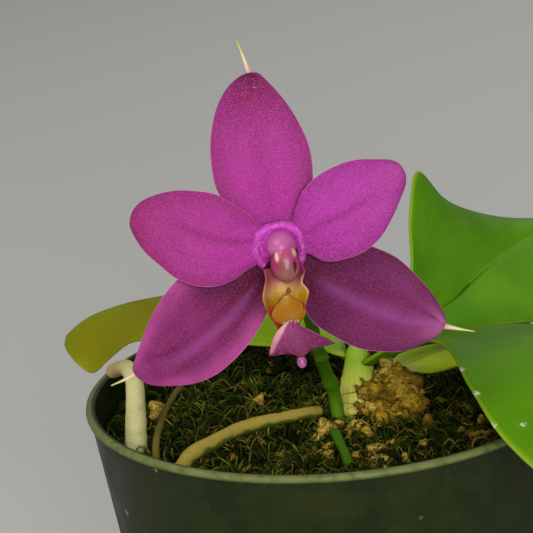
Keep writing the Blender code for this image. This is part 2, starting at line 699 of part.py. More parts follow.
def make_lip(parts, cutters):
    yellow = material("lip_yellow")
    lip = blade("lip", lambda s, t: in_flower(*cup_point(s, t)), TROUGH_WALL, (10, 9), parts, yellow)
    shield = blade("shield", lambda s, t: in_flower(*shield_point(s, t)), SHIELD_THICKNESS, (6, 7), cutters,
                   yellow)
    mid = blade("midlobe", lambda s, t: in_flower(*midlobe_point(s, t)), MIDLOBE_THICKNESS, (10, 6), cutters,
                yellow)
    claw = tube("claw", [in_flower(*p) for p in CLAW], CLAW_RADIUS, cutters, points=5)
    knob = flower_ball("knob", KNOB_AT, KNOB_SIZE, cutters, 2)
    lip = join_all(lip, [shield, mid, claw, knob], parts)
    smooth(lip, 50)
    return lip


def flower_ball(name, at, size, where, steps):
    """An egg-shaped piece given in the flower's own directions."""
    bm = bmesh.new()
    bmesh.ops.create_icosphere(bm, subdivisions=steps, radius=1.0)
    for vert in bm.verts:
        x, y, z = (at[i] + size[i] * vert.co[i] for i in range(3))
        vert.co = Vector(in_flower(x, y, z) * MM)
    bmesh.ops.recalc_face_normals(bm, faces=bm.faces[:])
    return mesh_object(name, bm, where)


COLUMN_LINE = [(0, 1.0, 0.55), (-0.05, 0.7, 2.6), (-0.1, 0.0, 4.2), (-0.2, -1.4, 5.8)]
COLUMN_RADIUS = (2.35, 2.75)
CAP_AT, CAP_SIZE = (-0.3, -3.1, 5.7), (2.6, 3.6, 1.9)


def column_swell(t):
    """The column is thickest in its middle and closes in a dome."""
    return 0.45 * np.sin(math.pi * t) - 1.1 * np.clip(t - 0.86, 0, 1) / 0.14


def make_column(parts, cutters):
    line = [in_flower(*p) for p in COLUMN_LINE]
    column = tube("column", line, COLUMN_RADIUS, parts, material("column_pink"), points=9,
                  swell=column_swell, sides=3)
    smooth(column, 60)
    grown = tube("column_grown", line, [r + GAP for r in COLUMN_RADIUS], cutters, points=9,
                 swell=column_swell, sides=3)
    cap = flower_ball("anther_cap", CAP_AT, CAP_SIZE, parts, 2)
    cap.data.materials.append(material("cap_mauve"))
    cap = cut(cap, [hide_cutter(grown)], parts)
    smooth(cap, 60)
    return column, cap


def spike_swell(t):
    """Small swellings at the spike's joints."""
    return sum(JOINT_SWELLING * np.exp(-((t - joint) / 0.02) ** 2) for joint in SPIKE_JOINTS)


def bract(line, t, out, size, cutters):
    """A small fleshy scale that hugs the spike above a joint and points up along it."""
    below, at, above = (Vector(p) for p in through(line, np.array([t - 0.01, t, t + 0.01])))
    aside = Vector((out[0], out[1], 0.0))
    bm = bmesh.new()
    bmesh.ops.create_cone(bm, cap_ends=True, segments=8, radius1=size * MM, radius2=0.12 * MM,
                          depth=3.4 * size * MM)
    turn = ((above - below).normalized() + 0.25 * aside).to_track_quat("Z", "Y").to_matrix()
    for vert in bm.verts:
        vert.co = turn @ vert.co + (at + aside) * MM
    return mesh_object("bract", bm, cutters)


def make_spike(parts, cutters):
    line = above_rim(SPIKE_LINE)
    spike = tube("flower_spike", line, SPIKE_RADIUS, parts, material("spike_green"), points=SPIKE_POINTS,
                 swell=spike_swell)
    spike = join_all(spike, [bract(line, *spec, cutters) for spec in BRACTS], parts)
    smooth(spike, 60)
    return spike


def make_pedicel(parts, cutters):
    line = above_rim(PEDICEL_LINE)
    pedicel = tube("pedicel", line, PEDICEL_RADIUS, parts, material("spike_green"), points=10)
    hub_line = [in_flower(0, 0, z) for z in (-3.6, -2.4, -1.0, 0.2)]
    hub = tube("hub", hub_line, (1.5, HUB_RADIUS), cutters, points=5, sides=3)
    pedicel = join_all(pedicel, [hub], parts)
    smooth(pedicel, 60)
    return pedicel


def grown_tube(name, line, radii, cutters):
    return hide_cutter(tube(name, line, (radii[0] + GAP, radii[1] + GAP), cutters, points=TUBE_POINTS))


def build():
    clear_scene()
    parts = new_collection("potted_moth_orchid")
    cutters = new_collection("cutters", hidden=True)

    make_stem(parts)
    stem_cut = stem_hole(cutters)
    root_cuts = []
    for name, spec in ROOTS.items():
        line = above_rim(spec["line"])
        mat = own_material(name, spec["colour"], 0.8)
        root = tube(name, line, spec["radius"], parts, mat, points=TUBE_POINTS)
        smooth(root, 60)
        root_cuts.append(grown_tube(name + "_hole", line, spec["radius"], cutters))
    make_spike(parts, cutters)
    spike_cut = hide_cutter(tube("spike_hole", above_rim(SPIKE_LINE), [r + GAP for r in SPIKE_RADIUS], cutters,
                                 points=SPIKE_POINTS, swell=spike_swell))
    make_pedicel(parts, cutters)

    for name in LEAVES:
        make_leaf(name, parts, [stem_cut])
    for name in TEPALS:
        make_tepal(name, parts, cutters)
    make_column(parts, cutters)
    make_lip(parts, cutters)

    make_pot(parts, cutters)
    make_mix(parts, [stem_cut])
    taken = [(MOUND_AT[0], MOUND_AT[1], MOUND_SIZE[0] + 5.2), (STEM_AT[0], STEM_AT[1], 7.5)]
    for spec in ROOTS.values():
        taken += [(*p[:2], 4.2) for p in through(spec["line"], np.linspace(0, 1, 24))]
    taken += [(0.3, -8.8, 4.5)]
    make_moss(parts, cutters, [stem_cut, spike_cut] + root_cuts, taken)
    make_mound(parts, cutters, [stem_cut, spike_cut] + root_cuts)


build()
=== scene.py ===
# %% [markdown]
# # A potted moth orchid
# The solids of the pot, the moss, the leaves and the one flower are loaded first and stay fixed.
# They already have the right size and place, so every finer piece below is worked out from the
# same named values, in metres, with Z up, -Y towards the side that the flower faces, and the
# middle of the pot's flat base at the origin.

# %% Load the fixed solids
import math

import bpy
import numpy as np
from mathutils import Matrix, Vector


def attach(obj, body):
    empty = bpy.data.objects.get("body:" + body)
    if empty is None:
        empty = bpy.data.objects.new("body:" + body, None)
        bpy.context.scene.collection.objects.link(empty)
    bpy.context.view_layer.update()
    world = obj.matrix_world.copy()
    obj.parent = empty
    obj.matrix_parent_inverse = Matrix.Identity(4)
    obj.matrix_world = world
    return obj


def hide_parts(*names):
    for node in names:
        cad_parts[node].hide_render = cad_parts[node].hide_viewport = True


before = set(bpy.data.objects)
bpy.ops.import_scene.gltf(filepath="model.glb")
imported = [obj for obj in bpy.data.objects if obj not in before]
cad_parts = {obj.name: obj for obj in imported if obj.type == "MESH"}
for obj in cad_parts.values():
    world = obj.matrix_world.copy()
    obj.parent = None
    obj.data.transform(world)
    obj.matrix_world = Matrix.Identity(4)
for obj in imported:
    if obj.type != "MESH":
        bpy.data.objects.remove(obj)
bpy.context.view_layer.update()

MM = 0.001
RIM = 92.0
print("solids:", sorted(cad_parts))

# %% [markdown]
# ## The camera
# The photo looks slightly down on the plant from about 60 cm. The oval of the pot's rim gives the
# tilt and the distance: a circle seen from above turns into an oval whose height tells the angle.
# A long lens keeps the flower and the pot in nearly the same scale.

# %% Camera at the photo's angle
CAMERA_TILT, CAMERA_ROLL = math.radians(17.58), math.radians(-5.10)
CAMERA_AT = Vector((-0.01227, -0.56339, 0.29801))
lens_data = bpy.data.cameras.new("photo_view")
lens_data.sensor_width = 36.0
lens_data.lens = 2763.0 / 533.0 * 36.0
lens_data.clip_start = 0.02
camera = bpy.data.objects.new("photo_view", lens_data)
bpy.context.scene.collection.objects.link(camera)
camera.matrix_world = (Matrix.Translation(CAMERA_AT) @ Matrix.Rotation(math.pi / 2 - CAMERA_TILT, 4, "X")
                       @ Matrix.Rotation(CAMERA_ROLL, 4, "Z"))
bpy.context.scene.camera = camera
print("lens", round(lens_data.lens, 1), "mm")

# %% [markdown]
# ## Floor and light
# A pale floor and three large soft lamps show every side without hard shadows. In the photo even the
# stem under the flower is bright, so the strongest lamp stands close to the camera, where the flower
# throws its shadow straight behind itself. A second one, high on the left, gives the petals shape.

# %% Floor and soft lamps
bpy.context.scene.view_settings.view_transform = "Standard"


def plain_paint(name, colour, roughness):
    """A paint of one colour, for the floor."""
    paint = bpy.data.materials.new(name)
    paint.use_nodes = True
    shader = paint.node_tree.nodes["Principled BSDF"]
    shader.inputs["Base Color"].default_value = (*colour, 1)
    shader.inputs["Roughness"].default_value = roughness
    return paint


floor_mesh = bpy.data.meshes.new("floor")
floor_mesh.from_pydata([(-6, -6, 0), (6, -6, 0), (6, 6, 0), (-6, 6, 0)], [], [(0, 1, 2, 3)])
floor = bpy.data.objects.new("floor", floor_mesh)
bpy.context.scene.collection.objects.link(floor)
floor_mesh.materials.append(plain_paint("floor_pale", (0.62, 0.62, 0.60), 0.9))


def soft_lamp(name, at, energy, size, tint):
    """A square lamp that looks at the flower."""
    data = bpy.data.lights.new(name, "AREA")
    data.energy, data.size, data.color = energy, size, tint
    lamp = bpy.data.objects.new(name, data)
    lamp.location = at
    lamp.rotation_euler = (Vector(at) - Vector((0, -0.02, 0.11))).to_track_quat("Z", "Y").to_euler()
    bpy.context.scene.collection.objects.link(lamp)


soft_lamp("key", (0.10, -0.82, 0.38), 5.4, 0.35, (1.0, 0.99, 0.96))
soft_lamp("high", (-0.55, -0.45, 0.95), 5.2, 0.45, (1.0, 0.98, 0.94))
soft_lamp("back", (0.35, 0.80, 0.75), 2.0, 0.7, (1.0, 1.0, 1.0))
world = bpy.data.worlds.new("soft_room")
bpy.context.scene.world = world
world.use_nodes = True
world.node_tree.nodes["Background"].inputs["Color"].default_value = (0.80, 0.80, 0.78, 1)
world.node_tree.nodes["Background"].inputs["Strength"].default_value = 0.25
print("three lamps and a pale floor")

# %% [markdown]
# ## Two shapes that most of the plant is made of
# Leaves and petals are sheets, and stalks and roots are round. Both could be modelled by hand with
# a subdivided cage, but a formula keeps them exactly on the lines that the solids were made from.
# A sheet is a function of two numbers, one across and one along. Its skin is closed: a ring of
# points runs along the top, round the thin edge and back underneath.

# %% A smooth line through points
def through(points, t):
    """The line through the points, read at t from 0 to 1 by distance: on each stretch it is a cubic
    whose ends have the slopes of the neighbouring points."""
    knots = np.array(points, float)
    steps = np.linalg.norm(np.diff(knots, axis=0), axis=1)
    at = np.concatenate([[0.0], np.cumsum(steps)]) / steps.sum()
    slope = np.gradient(knots, at, axis=0)
    t = np.asarray(t, float)
    i = np.clip(np.searchsorted(at, t, side="right") - 1, 0, len(knots) - 2)
    width = (at[i + 1] - at[i])[..., None]
    u = (t[..., None] - at[i][..., None]) / width
    start, end = knots[i], knots[i + 1]
    return ((2 * u**3 - 3 * u**2 + 1) * start + (u**3 - 2 * u**2 + u) * width * slope[i]
            + (3 * u**2 - 2 * u**3) * end + (u**3 - u**2) * width * slope[i + 1])


def ease(x, low, high):
    """0 below low, 1 above high, and a soft S between them."""
    u = np.clip((x - low) / (high - low), 0, 1)
    return u * u * (3 - 2 * u)


def ripple(places, size, seed, waves=20):
    """Smooth random hills about 1 high and about `size` wide: a sum of sines in random directions."""
    rng = np.random.default_rng(seed)
    ways = rng.normal(size=(waves, 3))
    ways *= (2 * np.pi / size) * rng.uniform(0.6, 1.4, (waves, 1)) / np.linalg.norm(ways, axis=1, keepdims=True)
    return np.sin(places @ ways.T + rng.uniform(0, 2 * np.pi, waves)).sum(-1) / math.sqrt(waves / 2)


print("through() at the middle of a step:", through([(0, 0), (1, 0), (1, 1)], np.array([0.5])))

# %% Put a grid of points into a mesh
def put_mesh(name, points, faces, paint, values=None, flip_if_needed=True):
    """points in millimetres and rows of three or four corner numbers become one smooth object at the
    origin; values are numbers kept with each point for the paint to read."""
    faces = [np.asarray(f) for f in faces]
    if flip_if_needed:
        a, b, c = (np.concatenate([points[f[:, k]] for f in faces]) for k in (0, 1, 2))
        fourth = [f for f in faces if f.shape[1] == 4]
        volume = np.einsum("ij,ij->i", a, np.cross(b, c)).sum()
        for f in fourth:
            volume += np.einsum("ij,ij->i", points[f[:, 0]], np.cross(points[f[:, 2]], points[f[:, 3]])).sum()
        if volume < 0:
            faces = [f[:, ::-1] for f in faces]
    mesh = bpy.data.meshes.new(name)
    mesh.vertices.add(len(points))
    mesh.vertices.foreach_set("co", (points * MM).astype(np.float32).ravel())
    corners = np.concatenate([f.ravel() for f in faces])
    counts = np.concatenate([np.full(len(f), f.shape[1]) for f in faces])
    mesh.loops.add(len(corners))
    mesh.loops.foreach_set("vertex_index", corners.astype(np.int32))
    mesh.polygons.add(len(counts))
    mesh.polygons.foreach_set("loop_start", np.concatenate([[0], np.cumsum(counts)[:-1]]).astype(np.int32))
    mesh.update(calc_edges=True)
    for key, value in (values or {}).items():
        layer = mesh.attributes.new(key, "FLOAT", "POINT")
        layer.data.foreach_set("value", np.asarray(value, np.float32).ravel())
    mesh.shade_smooth()
    mesh.materials.append(paint)
    obj = bpy.data.objects.new(name, mesh)
    bpy.context.scene.collection.objects.link(obj)
    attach(obj, "root")
    return obj


def sheet(name, surface, thickness, paint, rows=120, half=26, taper=0.0, values=None):
    """Closed skin round the middle surface(s, t): on the ring, s = cos(angle), and the point is lifted
    along the normal by half the thickness times sin(angle) to the power 0.45, so the edge is round.
    values holds further functions of (s, t) whose numbers are kept for the paint."""
    angle = np.arange(2 * half) * np.pi / half
    s, t = np.meshgrid(np.cos(angle), np.linspace(0, 1, rows))
    s, t = s.ravel(), t.ravel()
    step = 1e-3
    middle = surface(s, t)
    across = surface(np.minimum(s + step, 1), t) - surface(np.maximum(s - step, -1), t)
    along = surface(s, np.minimum(t + step, 1)) - surface(s, np.maximum(t - step, 0))
    normal = np.cross(across, along)
    normal /= np.linalg.norm(normal, axis=1, keepdims=True) + 1e-12
    turn = np.tile(np.sin(angle), rows)
    lift = np.sign(turn) * np.abs(turn) ** 0.45
    thick = thickness * (1 - taper * t) * np.sqrt(np.clip(1 - ((t - 0.96) / 0.041) ** 2, 0.02, 1) *
                                                  (t > 0.96) + (t <= 0.96))
    points = middle + normal * (0.5 * thick * lift)[:, None]
    k, i = np.meshgrid(np.arange(2 * half), np.arange(rows - 1))
    k, i = k.ravel(), i.ravel()
    n = (k + 1) % (2 * half)
    side = np.stack([i * 2 * half + k, i * 2 * half + n, (i + 1) * 2 * half + n, (i + 1) * 2 * half + k], 1)
    j = np.arange(1, half - 1)
    caps = [np.stack([r + j, r + j + 1, r + 2 * half - j - 1, r + 2 * half - j], 1)[:, ::w]
            for r, w in ((0, -1), ((rows - 1) * 2 * half, 1))]
    ends = [np.array([[r + a, r + b, r + c]])[:, ::w] for r, w in ((0, -1), ((rows - 1) * 2 * half, 1))
            for a, b, c in ((0, 1, 2 * half - 1), (half - 1, half, half + 1))]
    kept = {"across": s, "along": t, "top": turn}
    kept.update({key: number(s, t) for key, number in (values or {}).items()})
    return put_mesh(name, points, [np.concatenate([side] + caps), np.concatenate(ends)], paint, kept)


def stalk(name, line, radius, paint, rows=90, sides=28, aside=(0, 0, 1.0), rough=None, closed_ends=0.012):
    """Round tube: at t along the line, a circle of radius(t) square to the line; both ends shrink to a
    point as a half circle does. rough(points, t, angle) may push the skin out or in."""
    t = np.linspace(0, 1, rows)
    path = through(line, t) if not callable(line) else line(t)
    ahead = np.gradient(path, axis=0)
    ahead /= np.linalg.norm(ahead, axis=1, keepdims=True)
    right = np.cross(ahead, aside)
    right /= np.linalg.norm(right, axis=1, keepdims=True)
    up = np.cross(right, ahead)
    angle = np.arange(sides) * 2 * np.pi / sides
    end = np.minimum(t, 1 - t) / closed_ends
    shrink = np.sqrt(np.clip(1 - (1 - np.clip(end, 0, 1)) ** 2, 0, 1))
    shrink[[0, -1]] = 0.0
    size = radius(t) * shrink
    ring = np.cos(angle)[None, :, None] * right[:, None] + np.sin(angle)[None, :, None] * up[:, None]
    points = path[:, None] + ring * size[:, None, None]
    tt = np.repeat(t, sides)
    aa = np.tile(angle, rows)
    points = points.reshape(-1, 3)
    if rough is not None:
        points = points + ring.reshape(-1, 3) * (rough(points, tt, aa) * np.repeat(shrink, sides))[:, None]
    facing = (ring.reshape(-1, 3))[:, 2]
    k, i = np.meshgrid(np.arange(sides), np.arange(1, rows - 2))
    k, i = k.ravel(), i.ravel()
    n = (k + 1) % sides
    body = np.stack([i * sides + k, i * sides + n, (i + 1) * sides + n, (i + 1) * sides + k], 1)
    last = (rows - 1) * sides
    k = np.arange(sides)
    n = (k + 1) % sides
    caps = np.concatenate([np.stack([0 * k, sides + n, sides + k], 1),
                           np.stack([last + 0 * k, last - sides + k, last - sides + n], 1)])
    keep = np.ones(len(points), bool)
    keep[1:sides] = False
    keep[last + 1:] = False
    number = np.cumsum(keep) - 1
    values = {"along": tt[keep], "around": aa[keep], "up": facing[keep]}
    return put_mesh(name, points[keep], [number[body], number[caps]], paint, values)


def ball(name, place, paint, rows=40, sides=48, values=None):
    """Closed skin place(direction): a ball's unit directions are sent to points by the function."""
    rise = np.linspace(-np.pi / 2, np.pi / 2, rows)
    turn = np.arange(sides) * 2 * np.pi / sides
    r, a = np.meshgrid(rise, turn, indexing="ij")
    way = np.stack([np.cos(r) * np.cos(a), np.cos(r) * np.sin(a), np.sin(r)], -1).reshape(-1, 3)
    points = place(way)
    k, i = np.meshgrid(np.arange(sides), np.arange(1, rows - 2))
    k, i = k.ravel(), i.ravel()
    n = (k + 1) % sides
    body = np.stack([i * sides + k, i * sides + n, (i + 1) * sides + n, (i + 1) * sides + k], 1)
    last = (rows - 1) * sides
    k = np.arange(sides)
    n = (k + 1) % sides
    caps = np.concatenate([np.stack([0 * k, sides + n, sides + k], 1),
                           np.stack([last + 0 * k, last - sides + k, last - sides + n], 1)])
    keep = np.ones(len(points), bool)
    keep[1:sides] = False
    keep[last + 1:] = False
    number = np.cumsum(keep) - 1
    found = {key: f(way)[keep] for key, f in (values or {}).items()}
    return put_mesh(name, points[keep], [number[body], number[caps]], paint, found)


print("three makers: sheet, stalk and ball")

# %% [markdown]
# ## Paint made of nodes
# No picture is used. Every finish is mixed from noise in the piece's own space and from the numbers
# kept on its points: `across` and `along` on a sheet, `around` and `up` on a stalk. That way a vein
# runs with the leaf however the leaf bends. A small helper keeps the node wiring short.

# %% A helper for paints
class Paint:
    """Builds one material: each method adds a node and gives back its output."""

    def __init__(self, name, roughness=0.5, coat=0.0, sheen=0.0, soft=0.0, specular=0.5):
        self.material = bpy.data.materials.new(name)
        self.material.use_nodes = True
        self.tree = self.material.node_tree
        self.shader = self.tree.nodes["Principled BSDF"]
        fixed = {"Roughness": roughness, "Coat Weight": coat, "Sheen Weight": sheen,
                 "Subsurface Weight": soft, "Specular IOR Level": specular}
        for key, value in fixed.items():
            self.shader.inputs[key].default_value = value
        self.shader.inputs["Subsurface Radius"].default_value = (1.0, 0.5, 0.4)
        self.shader.inputs["Subsurface Scale"].default_value = 0.0012
        self.place = self.tree.nodes.new("ShaderNodeTexCoord").outputs["Object"]

    def wire(self, socket, value):
        if hasattr(value, "is_output"):
            self.tree.links.new(value, socket)
        else:
            socket.default_value = value

    def number(self, key):
        node = self.tree.nodes.new("ShaderNodeAttribute")
        node.attribute_name = key
        return node.outputs["Fac"]

    def math(self, kind, a, b=0.0, c=0.0):
        node = self.tree.nodes.new("ShaderNodeMath")
        node.operation = kind
        for socket, value in zip(node.inputs, (a, b, c)):
            self.wire(socket, value)
        return node.outputs["Value"]

    def height(self):
        """How high a point lies, in metres."""
        node = self.tree.nodes.new("ShaderNodeSeparateXYZ")
        self.wire(node.inputs["Vector"], self.place)
        return node.outputs["Z"]

    def reach(self):
        """How far a point lies from the upright axis, in metres."""
        flat = self.tree.nodes.new("ShaderNodeVectorMath")
        flat.operation = "MULTIPLY"
        self.wire(flat.inputs[0], self.place)
        flat.inputs[1].default_value = (1.0, 1.0, 0.0)
        node = self.tree.nodes.new("ShaderNodeVectorMath")
        node.operation = "LENGTH"
        self.wire(node.inputs[0], flat.outputs["Vector"])
        return node.outputs["Value"]

    def near(self, at_mm, reach_mm):
        """1 at a place and 0 from reach_mm on, with an edge that grain makes uneven."""
        node = self.tree.nodes.new("ShaderNodeVectorMath")
        node.operation = "DISTANCE"
        self.wire(node.inputs[0], self.place)
        node.inputs[1].default_value = [v * MM for v in at_mm]
        uneven = self.math("MULTIPLY", self.grain(reach_mm, 2.0), reach_mm * MM)
        return self.span(self.math("ADD", node.outputs["Value"], uneven), 0.7 * reach_mm * MM,
                         1.4 * reach_mm * MM, 1.0, 0.0)

    def grain(self, size_mm, detail=2.0, place=None, rough=0.5, kind="Fac"):
        """Noise whose blotches are about size_mm across."""
        node = self.tree.nodes.new("ShaderNodeTexNoise")
        node.inputs["Scale"].default_value = (1.0 / (size_mm * MM) if place is None else 1.0 / size_mm)
        node.inputs["Detail"].default_value = detail
        node.inputs["Roughness"].default_value = rough
        self.wire(node.inputs["Vector"], self.place if place is None else place)
        return node.outputs[kind]

    def cells(self, size_mm, place=None):
        """Distance to the nearest of scattered dots, for cell skins and flecks."""
        node = self.tree.nodes.new("ShaderNodeTexVoronoi")
        node.inputs["Scale"].default_value = (1.0 / (size_mm * MM) if place is None else 1.0 / size_mm)
        self.wire(node.inputs["Vector"], self.place if place is None else place)
        return node.outputs["Distance"]

    def pair(self, x, y, z=0.0):
        node = self.tree.nodes.new("ShaderNodeCombineXYZ")
        for socket, value in zip(node.inputs, (x, y, z)):
            self.wire(socket, value)
        return node.outputs["Vector"]

    def span(self, value, low, high, out_low=0.0, out_high=1.0):
        """The value carried from low..high to out_low..out_high, softly and with no overshoot."""
        node = self.tree.nodes.new("ShaderNodeMapRange")
        node.interpolation_type = "SMOOTHSTEP"
        node.inputs["From Min"].default_value = low
        node.inputs["From Max"].default_value = high
        node.inputs["To Min"].default_value = out_low
        node.inputs["To Max"].default_value = out_high
        self.wire(node.inputs["Value"], value)
        return node.outputs["Result"]

    def blend(self, share, a, b):
        """Colour a where share is 0 and colour b where it is 1."""
        node = self.tree.nodes.new("ShaderNodeMix")
        node.data_type = "RGBA"
        self.wire(node.inputs["Factor"], share)
        for key, value in (("A", a), ("B", b)):
            socket = [s for s in node.inputs if s.name == key and s.type == "RGBA"][0]
            self.wire(socket, value if hasattr(value, "is_output") else (*value, 1.0))
        return [s for s in node.outputs if s.type == "RGBA"][0]

    def steps(self, value, *stops):
        """A colour for each stop (position, colour), mixed between them."""
        node = self.tree.nodes.new("ShaderNodeValToRGB")
        ramp = node.color_ramp
        while len(ramp.elements) < len(stops):
            ramp.elements.new(0.5)
        for element, (at, colour) in zip(ramp.elements, stops):
            element.position = at
            element.color = (*colour, 1.0)
        self.wire(node.inputs["Fac"], value)
        return node.outputs["Color"]

    def colour(self, value):
        self.wire(self.shader.inputs["Base Color"], value)

    def roughness(self, value):
        self.wire(self.shader.inputs["Roughness"], value)

    def relief(self, height, depth_mm, strength=1.0):
        """Small bumps from a height that runs from 0 to 1."""
        node = self.tree.nodes.new("ShaderNodeBump")
        node.inputs["Distance"].default_value = depth_mm * MM
        node.inputs["Strength"].default_value = strength
        self.wire(node.inputs["Height"], height)
        self.wire(self.shader.inputs["Normal"], node.outputs["Normal"])


print("paint helper ready")

# %% [markdown]
# ## The pot
# A nursery pot is one thin shell of dark green plastic, moulded over a core: a slightly tapering
# wall, a thicker rolled rim to lift it by, and a floor with drain holes. It could be a stretched
# cylinder, but a turned profile gives the wall, the rim and the floor in one line.

# %% Turned pot
POT_RIM, POT_RIM_WIDTH, POT_RIM_DROP = 54.0, 2.1, 1.6
WALL_TOP, BASE, WALL, FLOOR = 53.2, 40.6, 1.1, 1.6
DRAIN_HOLES, DRAIN_RADIUS, DRAIN_CIRCLE = 8, 4.0, 31.0


def wall_radius(height):
    """Outer radius of the wall: a straight taper from the base to just under the rim."""
    return BASE + (WALL_TOP - BASE) * height / (RIM - POT_RIM_DROP)


def turned(name, profile, paint, sides=220):
    """A closed profile of (radius, height), first and last on the axis, turned once round the axis."""
    profile = np.array(profile, float)
    angle = np.arange(sides) * 2 * np.pi / sides
    inner = profile[1:-1]
    rows = len(inner)
    points = np.stack([inner[:, None, 0] * np.cos(angle), inner[:, None, 0] * np.sin(angle),
                       np.repeat(inner[:, 1:], sides, 1)], -1).reshape(-1, 3)
    points = np.concatenate([points, [[0, 0, profile[0, 1]], [0, 0, profile[-1, 1]]]])
    k, i = np.meshgrid(np.arange(sides), np.arange(rows - 1))
    k, i = k.ravel(), i.ravel()
    n = (k + 1) % sides
    body = np.stack([i * sides + k, i * sides + n, (i + 1) * sides + n, (i + 1) * sides + k], 1)
    k = np.arange(sides)
    n = (k + 1) % sides
    first, last = rows * sides, rows * sides + 1
    caps = np.concatenate([np.stack([0 * k + first, n, k], 1),
                           np.stack([0 * k + last, (rows - 1) * sides + k, (rows - 1) * sides + n], 1)])
    return put_mesh(name, points, [body, caps], paint)


plastic = Paint("pot_plastic", roughness=0.5, specular=0.14)
scuff = plastic.grain(9.0, 4.0)
green = plastic.blend(plastic.span(scuff, 0.35, 0.7), (0.008, 0.015, 0.002), (0.016, 0.024, 0.003))
mist = plastic.span(plastic.grain(1.6, 4.0), 0.50, 0.80, 0.0, 0.35)
green = plastic.blend(mist, green, (0.034, 0.042, 0.010))
# Painted highlight: the outer top of the rim is painted pale grey-green, broken up by grain.
rim_painted_highlight = plastic.math("MULTIPLY", plastic.span(plastic.height(), (RIM - 1.7) * MM, (RIM - 0.7) * MM),
                        plastic.span(plastic.reach(), 52.4 * MM, 53.1 * MM))
rim_painted_highlight = plastic.math("MULTIPLY", rim_painted_highlight, plastic.span(plastic.grain(2.0, 3.0), 0.2, 0.6, 0.5, 1.0))
green = plastic.blend(rim_painted_highlight, green, (0.150, 0.175, 0.055))
SPLASHES = [((-51.2, -17.5, 91.5), 1.1), ((-48.0, 17.2, 82.4), 1.3), ((-51.3, -12.0, 88.2), 0.9),
            ((-50.9, -6.4, 75.6), 1.0), ((-46.3, -21.4, 74.6), 1.2), ((-38.5, -36.6, 89.7), 0.8)]
for at, reach in SPLASHES:
    green = plastic.blend(plastic.math("MULTIPLY", plastic.near(at, reach), 0.85), green, (0.26, 0.17, 0.06))
specks = plastic.span(plastic.cells(9.0), 0.04, 0.07, 1.0, 0.0)
plastic.colour(plastic.blend(plastic.math("MULTIPLY", specks, 0.5), green, (0.14, 0.10, 0.04)))
plastic.roughness(plastic.span(scuff, 0.3, 0.75, 0.44, 0.60))
plastic.relief(plastic.grain(3.0, 3.0), 0.05, 0.25)

low, mouth = RIM - POT_RIM_DROP, POT_RIM - POT_RIM_WIDTH
quarter = np.linspace(0, np.pi / 2, 8)
inner_round = [(mouth + 0.5 - 0.5 * math.cos(a), RIM - 0.55 + 0.45 * math.sin(a)) for a in quarter]
outer_round = [(POT_RIM - 0.8 + 0.8 * math.sin(a), RIM - 0.8 + 0.8 * math.cos(a)) for a in quarter]
pot = turned("pot_shell", [
    (0, FLOOR), (wall_radius(FLOOR) - WALL - 1.5, FLOOR), (wall_radius(FLOOR) - WALL - 0.5, FLOOR + 0.35),
    (wall_radius(FLOOR + 1.5) - WALL, FLOOR + 1.5), (wall_radius(45) - WALL, 45),
    (wall_radius(low) - WALL, low)] + inner_round + outer_round + [
    (POT_RIM, low + 0.4), (POT_RIM - 0.12, low + 0.1), (POT_RIM - 0.4, low),
    (wall_radius(low - 0.12) + 0.08, low - 0.12), (wall_radius(low - 0.5), low - 0.5), (wall_radius(45), 45),
    (wall_radius(1.4), 1.4), (BASE - 0.35, 0.4), (BASE - 1.2, 0), (0, 0)], plastic.material)
pot.data.set_sharp_from_angle(angle=math.radians(40))


# %% Drain holes
def plug(middle, sides=32):
    """A short upright round bar through the floor: two rings of points and the faces between them."""
    turn = np.arange(sides) * 2 * np.pi / sides
    ring = np.stack([middle[0] + DRAIN_RADIUS * np.cos(turn), middle[1] + DRAIN_RADIUS * np.sin(turn)], 1)
    points = np.concatenate([np.insert(ring, 2, z, 1) for z in (-2.0, 4.0)]) * MM
    n = np.roll(np.arange(sides), -1)
    wall = [(j, int(n[j]), int(n[j]) + sides, j + sides) for j in range(sides)]
    mesh = bpy.data.meshes.new("plug")
    mesh.from_pydata(points.tolist(), [], wall + [tuple(range(sides - 1, -1, -1)), tuple(range(sides, 2 * sides))])
    return bpy.data.objects.new("plug", mesh)


for k in range(DRAIN_HOLES):
    a = math.tau * (k + 0.5) / DRAIN_HOLES
    bar = plug((DRAIN_CIRCLE * math.cos(a), DRAIN_CIRCLE * math.sin(a)))
    bpy.context.scene.collection.objects.link(bar)
    hole = pot.modifiers.new("drain", "BOOLEAN")
    hole.operation, hole.object = "DIFFERENCE", bar
    bpy.context.view_layer.objects.active = pot
    bpy.ops.object.modifier_apply(modifier=hole.name)
    bpy.data.objects.remove(bar, do_unlink=True)
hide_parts("pot")
print("pot faces", len(pot.data.polygons))

# %% [markdown]
# ## Growing mix
# Under the moss the pot is full of damp bark. Only its underside shows, through the drain holes, so
# the solid stays as it is and gets a rough brown finish.

# %% Bark finish
bark = Paint("damp_bark", roughness=0.95)
bark.colour(bark.steps(bark.grain(3.0, 5.0), (0.3, (0.012, 0.008, 0.004)), (0.55, (0.06, 0.035, 0.018)),
                       (0.75, (0.16, 0.10, 0.05))))
bark.relief(bark.cells(4.0), 0.8)
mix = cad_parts["potting_mix"]
mix.data.materials.clear()
mix.data.materials.append(bark.material)
print("mix painted")

# %% [markdown]
# ## The moss
# The surface is a wet, untidy mat: a bumpy dark ground, short green shoots, dry tan fibres lying in
# all directions, and light crumbs of old moss. A displaced plane alone would look like felt, so the
# ground carries thousands of tiny closed needles and fibres. They are all worked out at once: one
# array holds every path, and one holds every skin.

# %% The ground of the moss
STEM = np.array([5.5, -4.0])
MOSS_MEAN, MOSS_RADIUS, MOSS_TAPER, MIX_TOP, GAP = RIM - 7.5, 50.9, 0.9, RIM - 14.0, 0.3


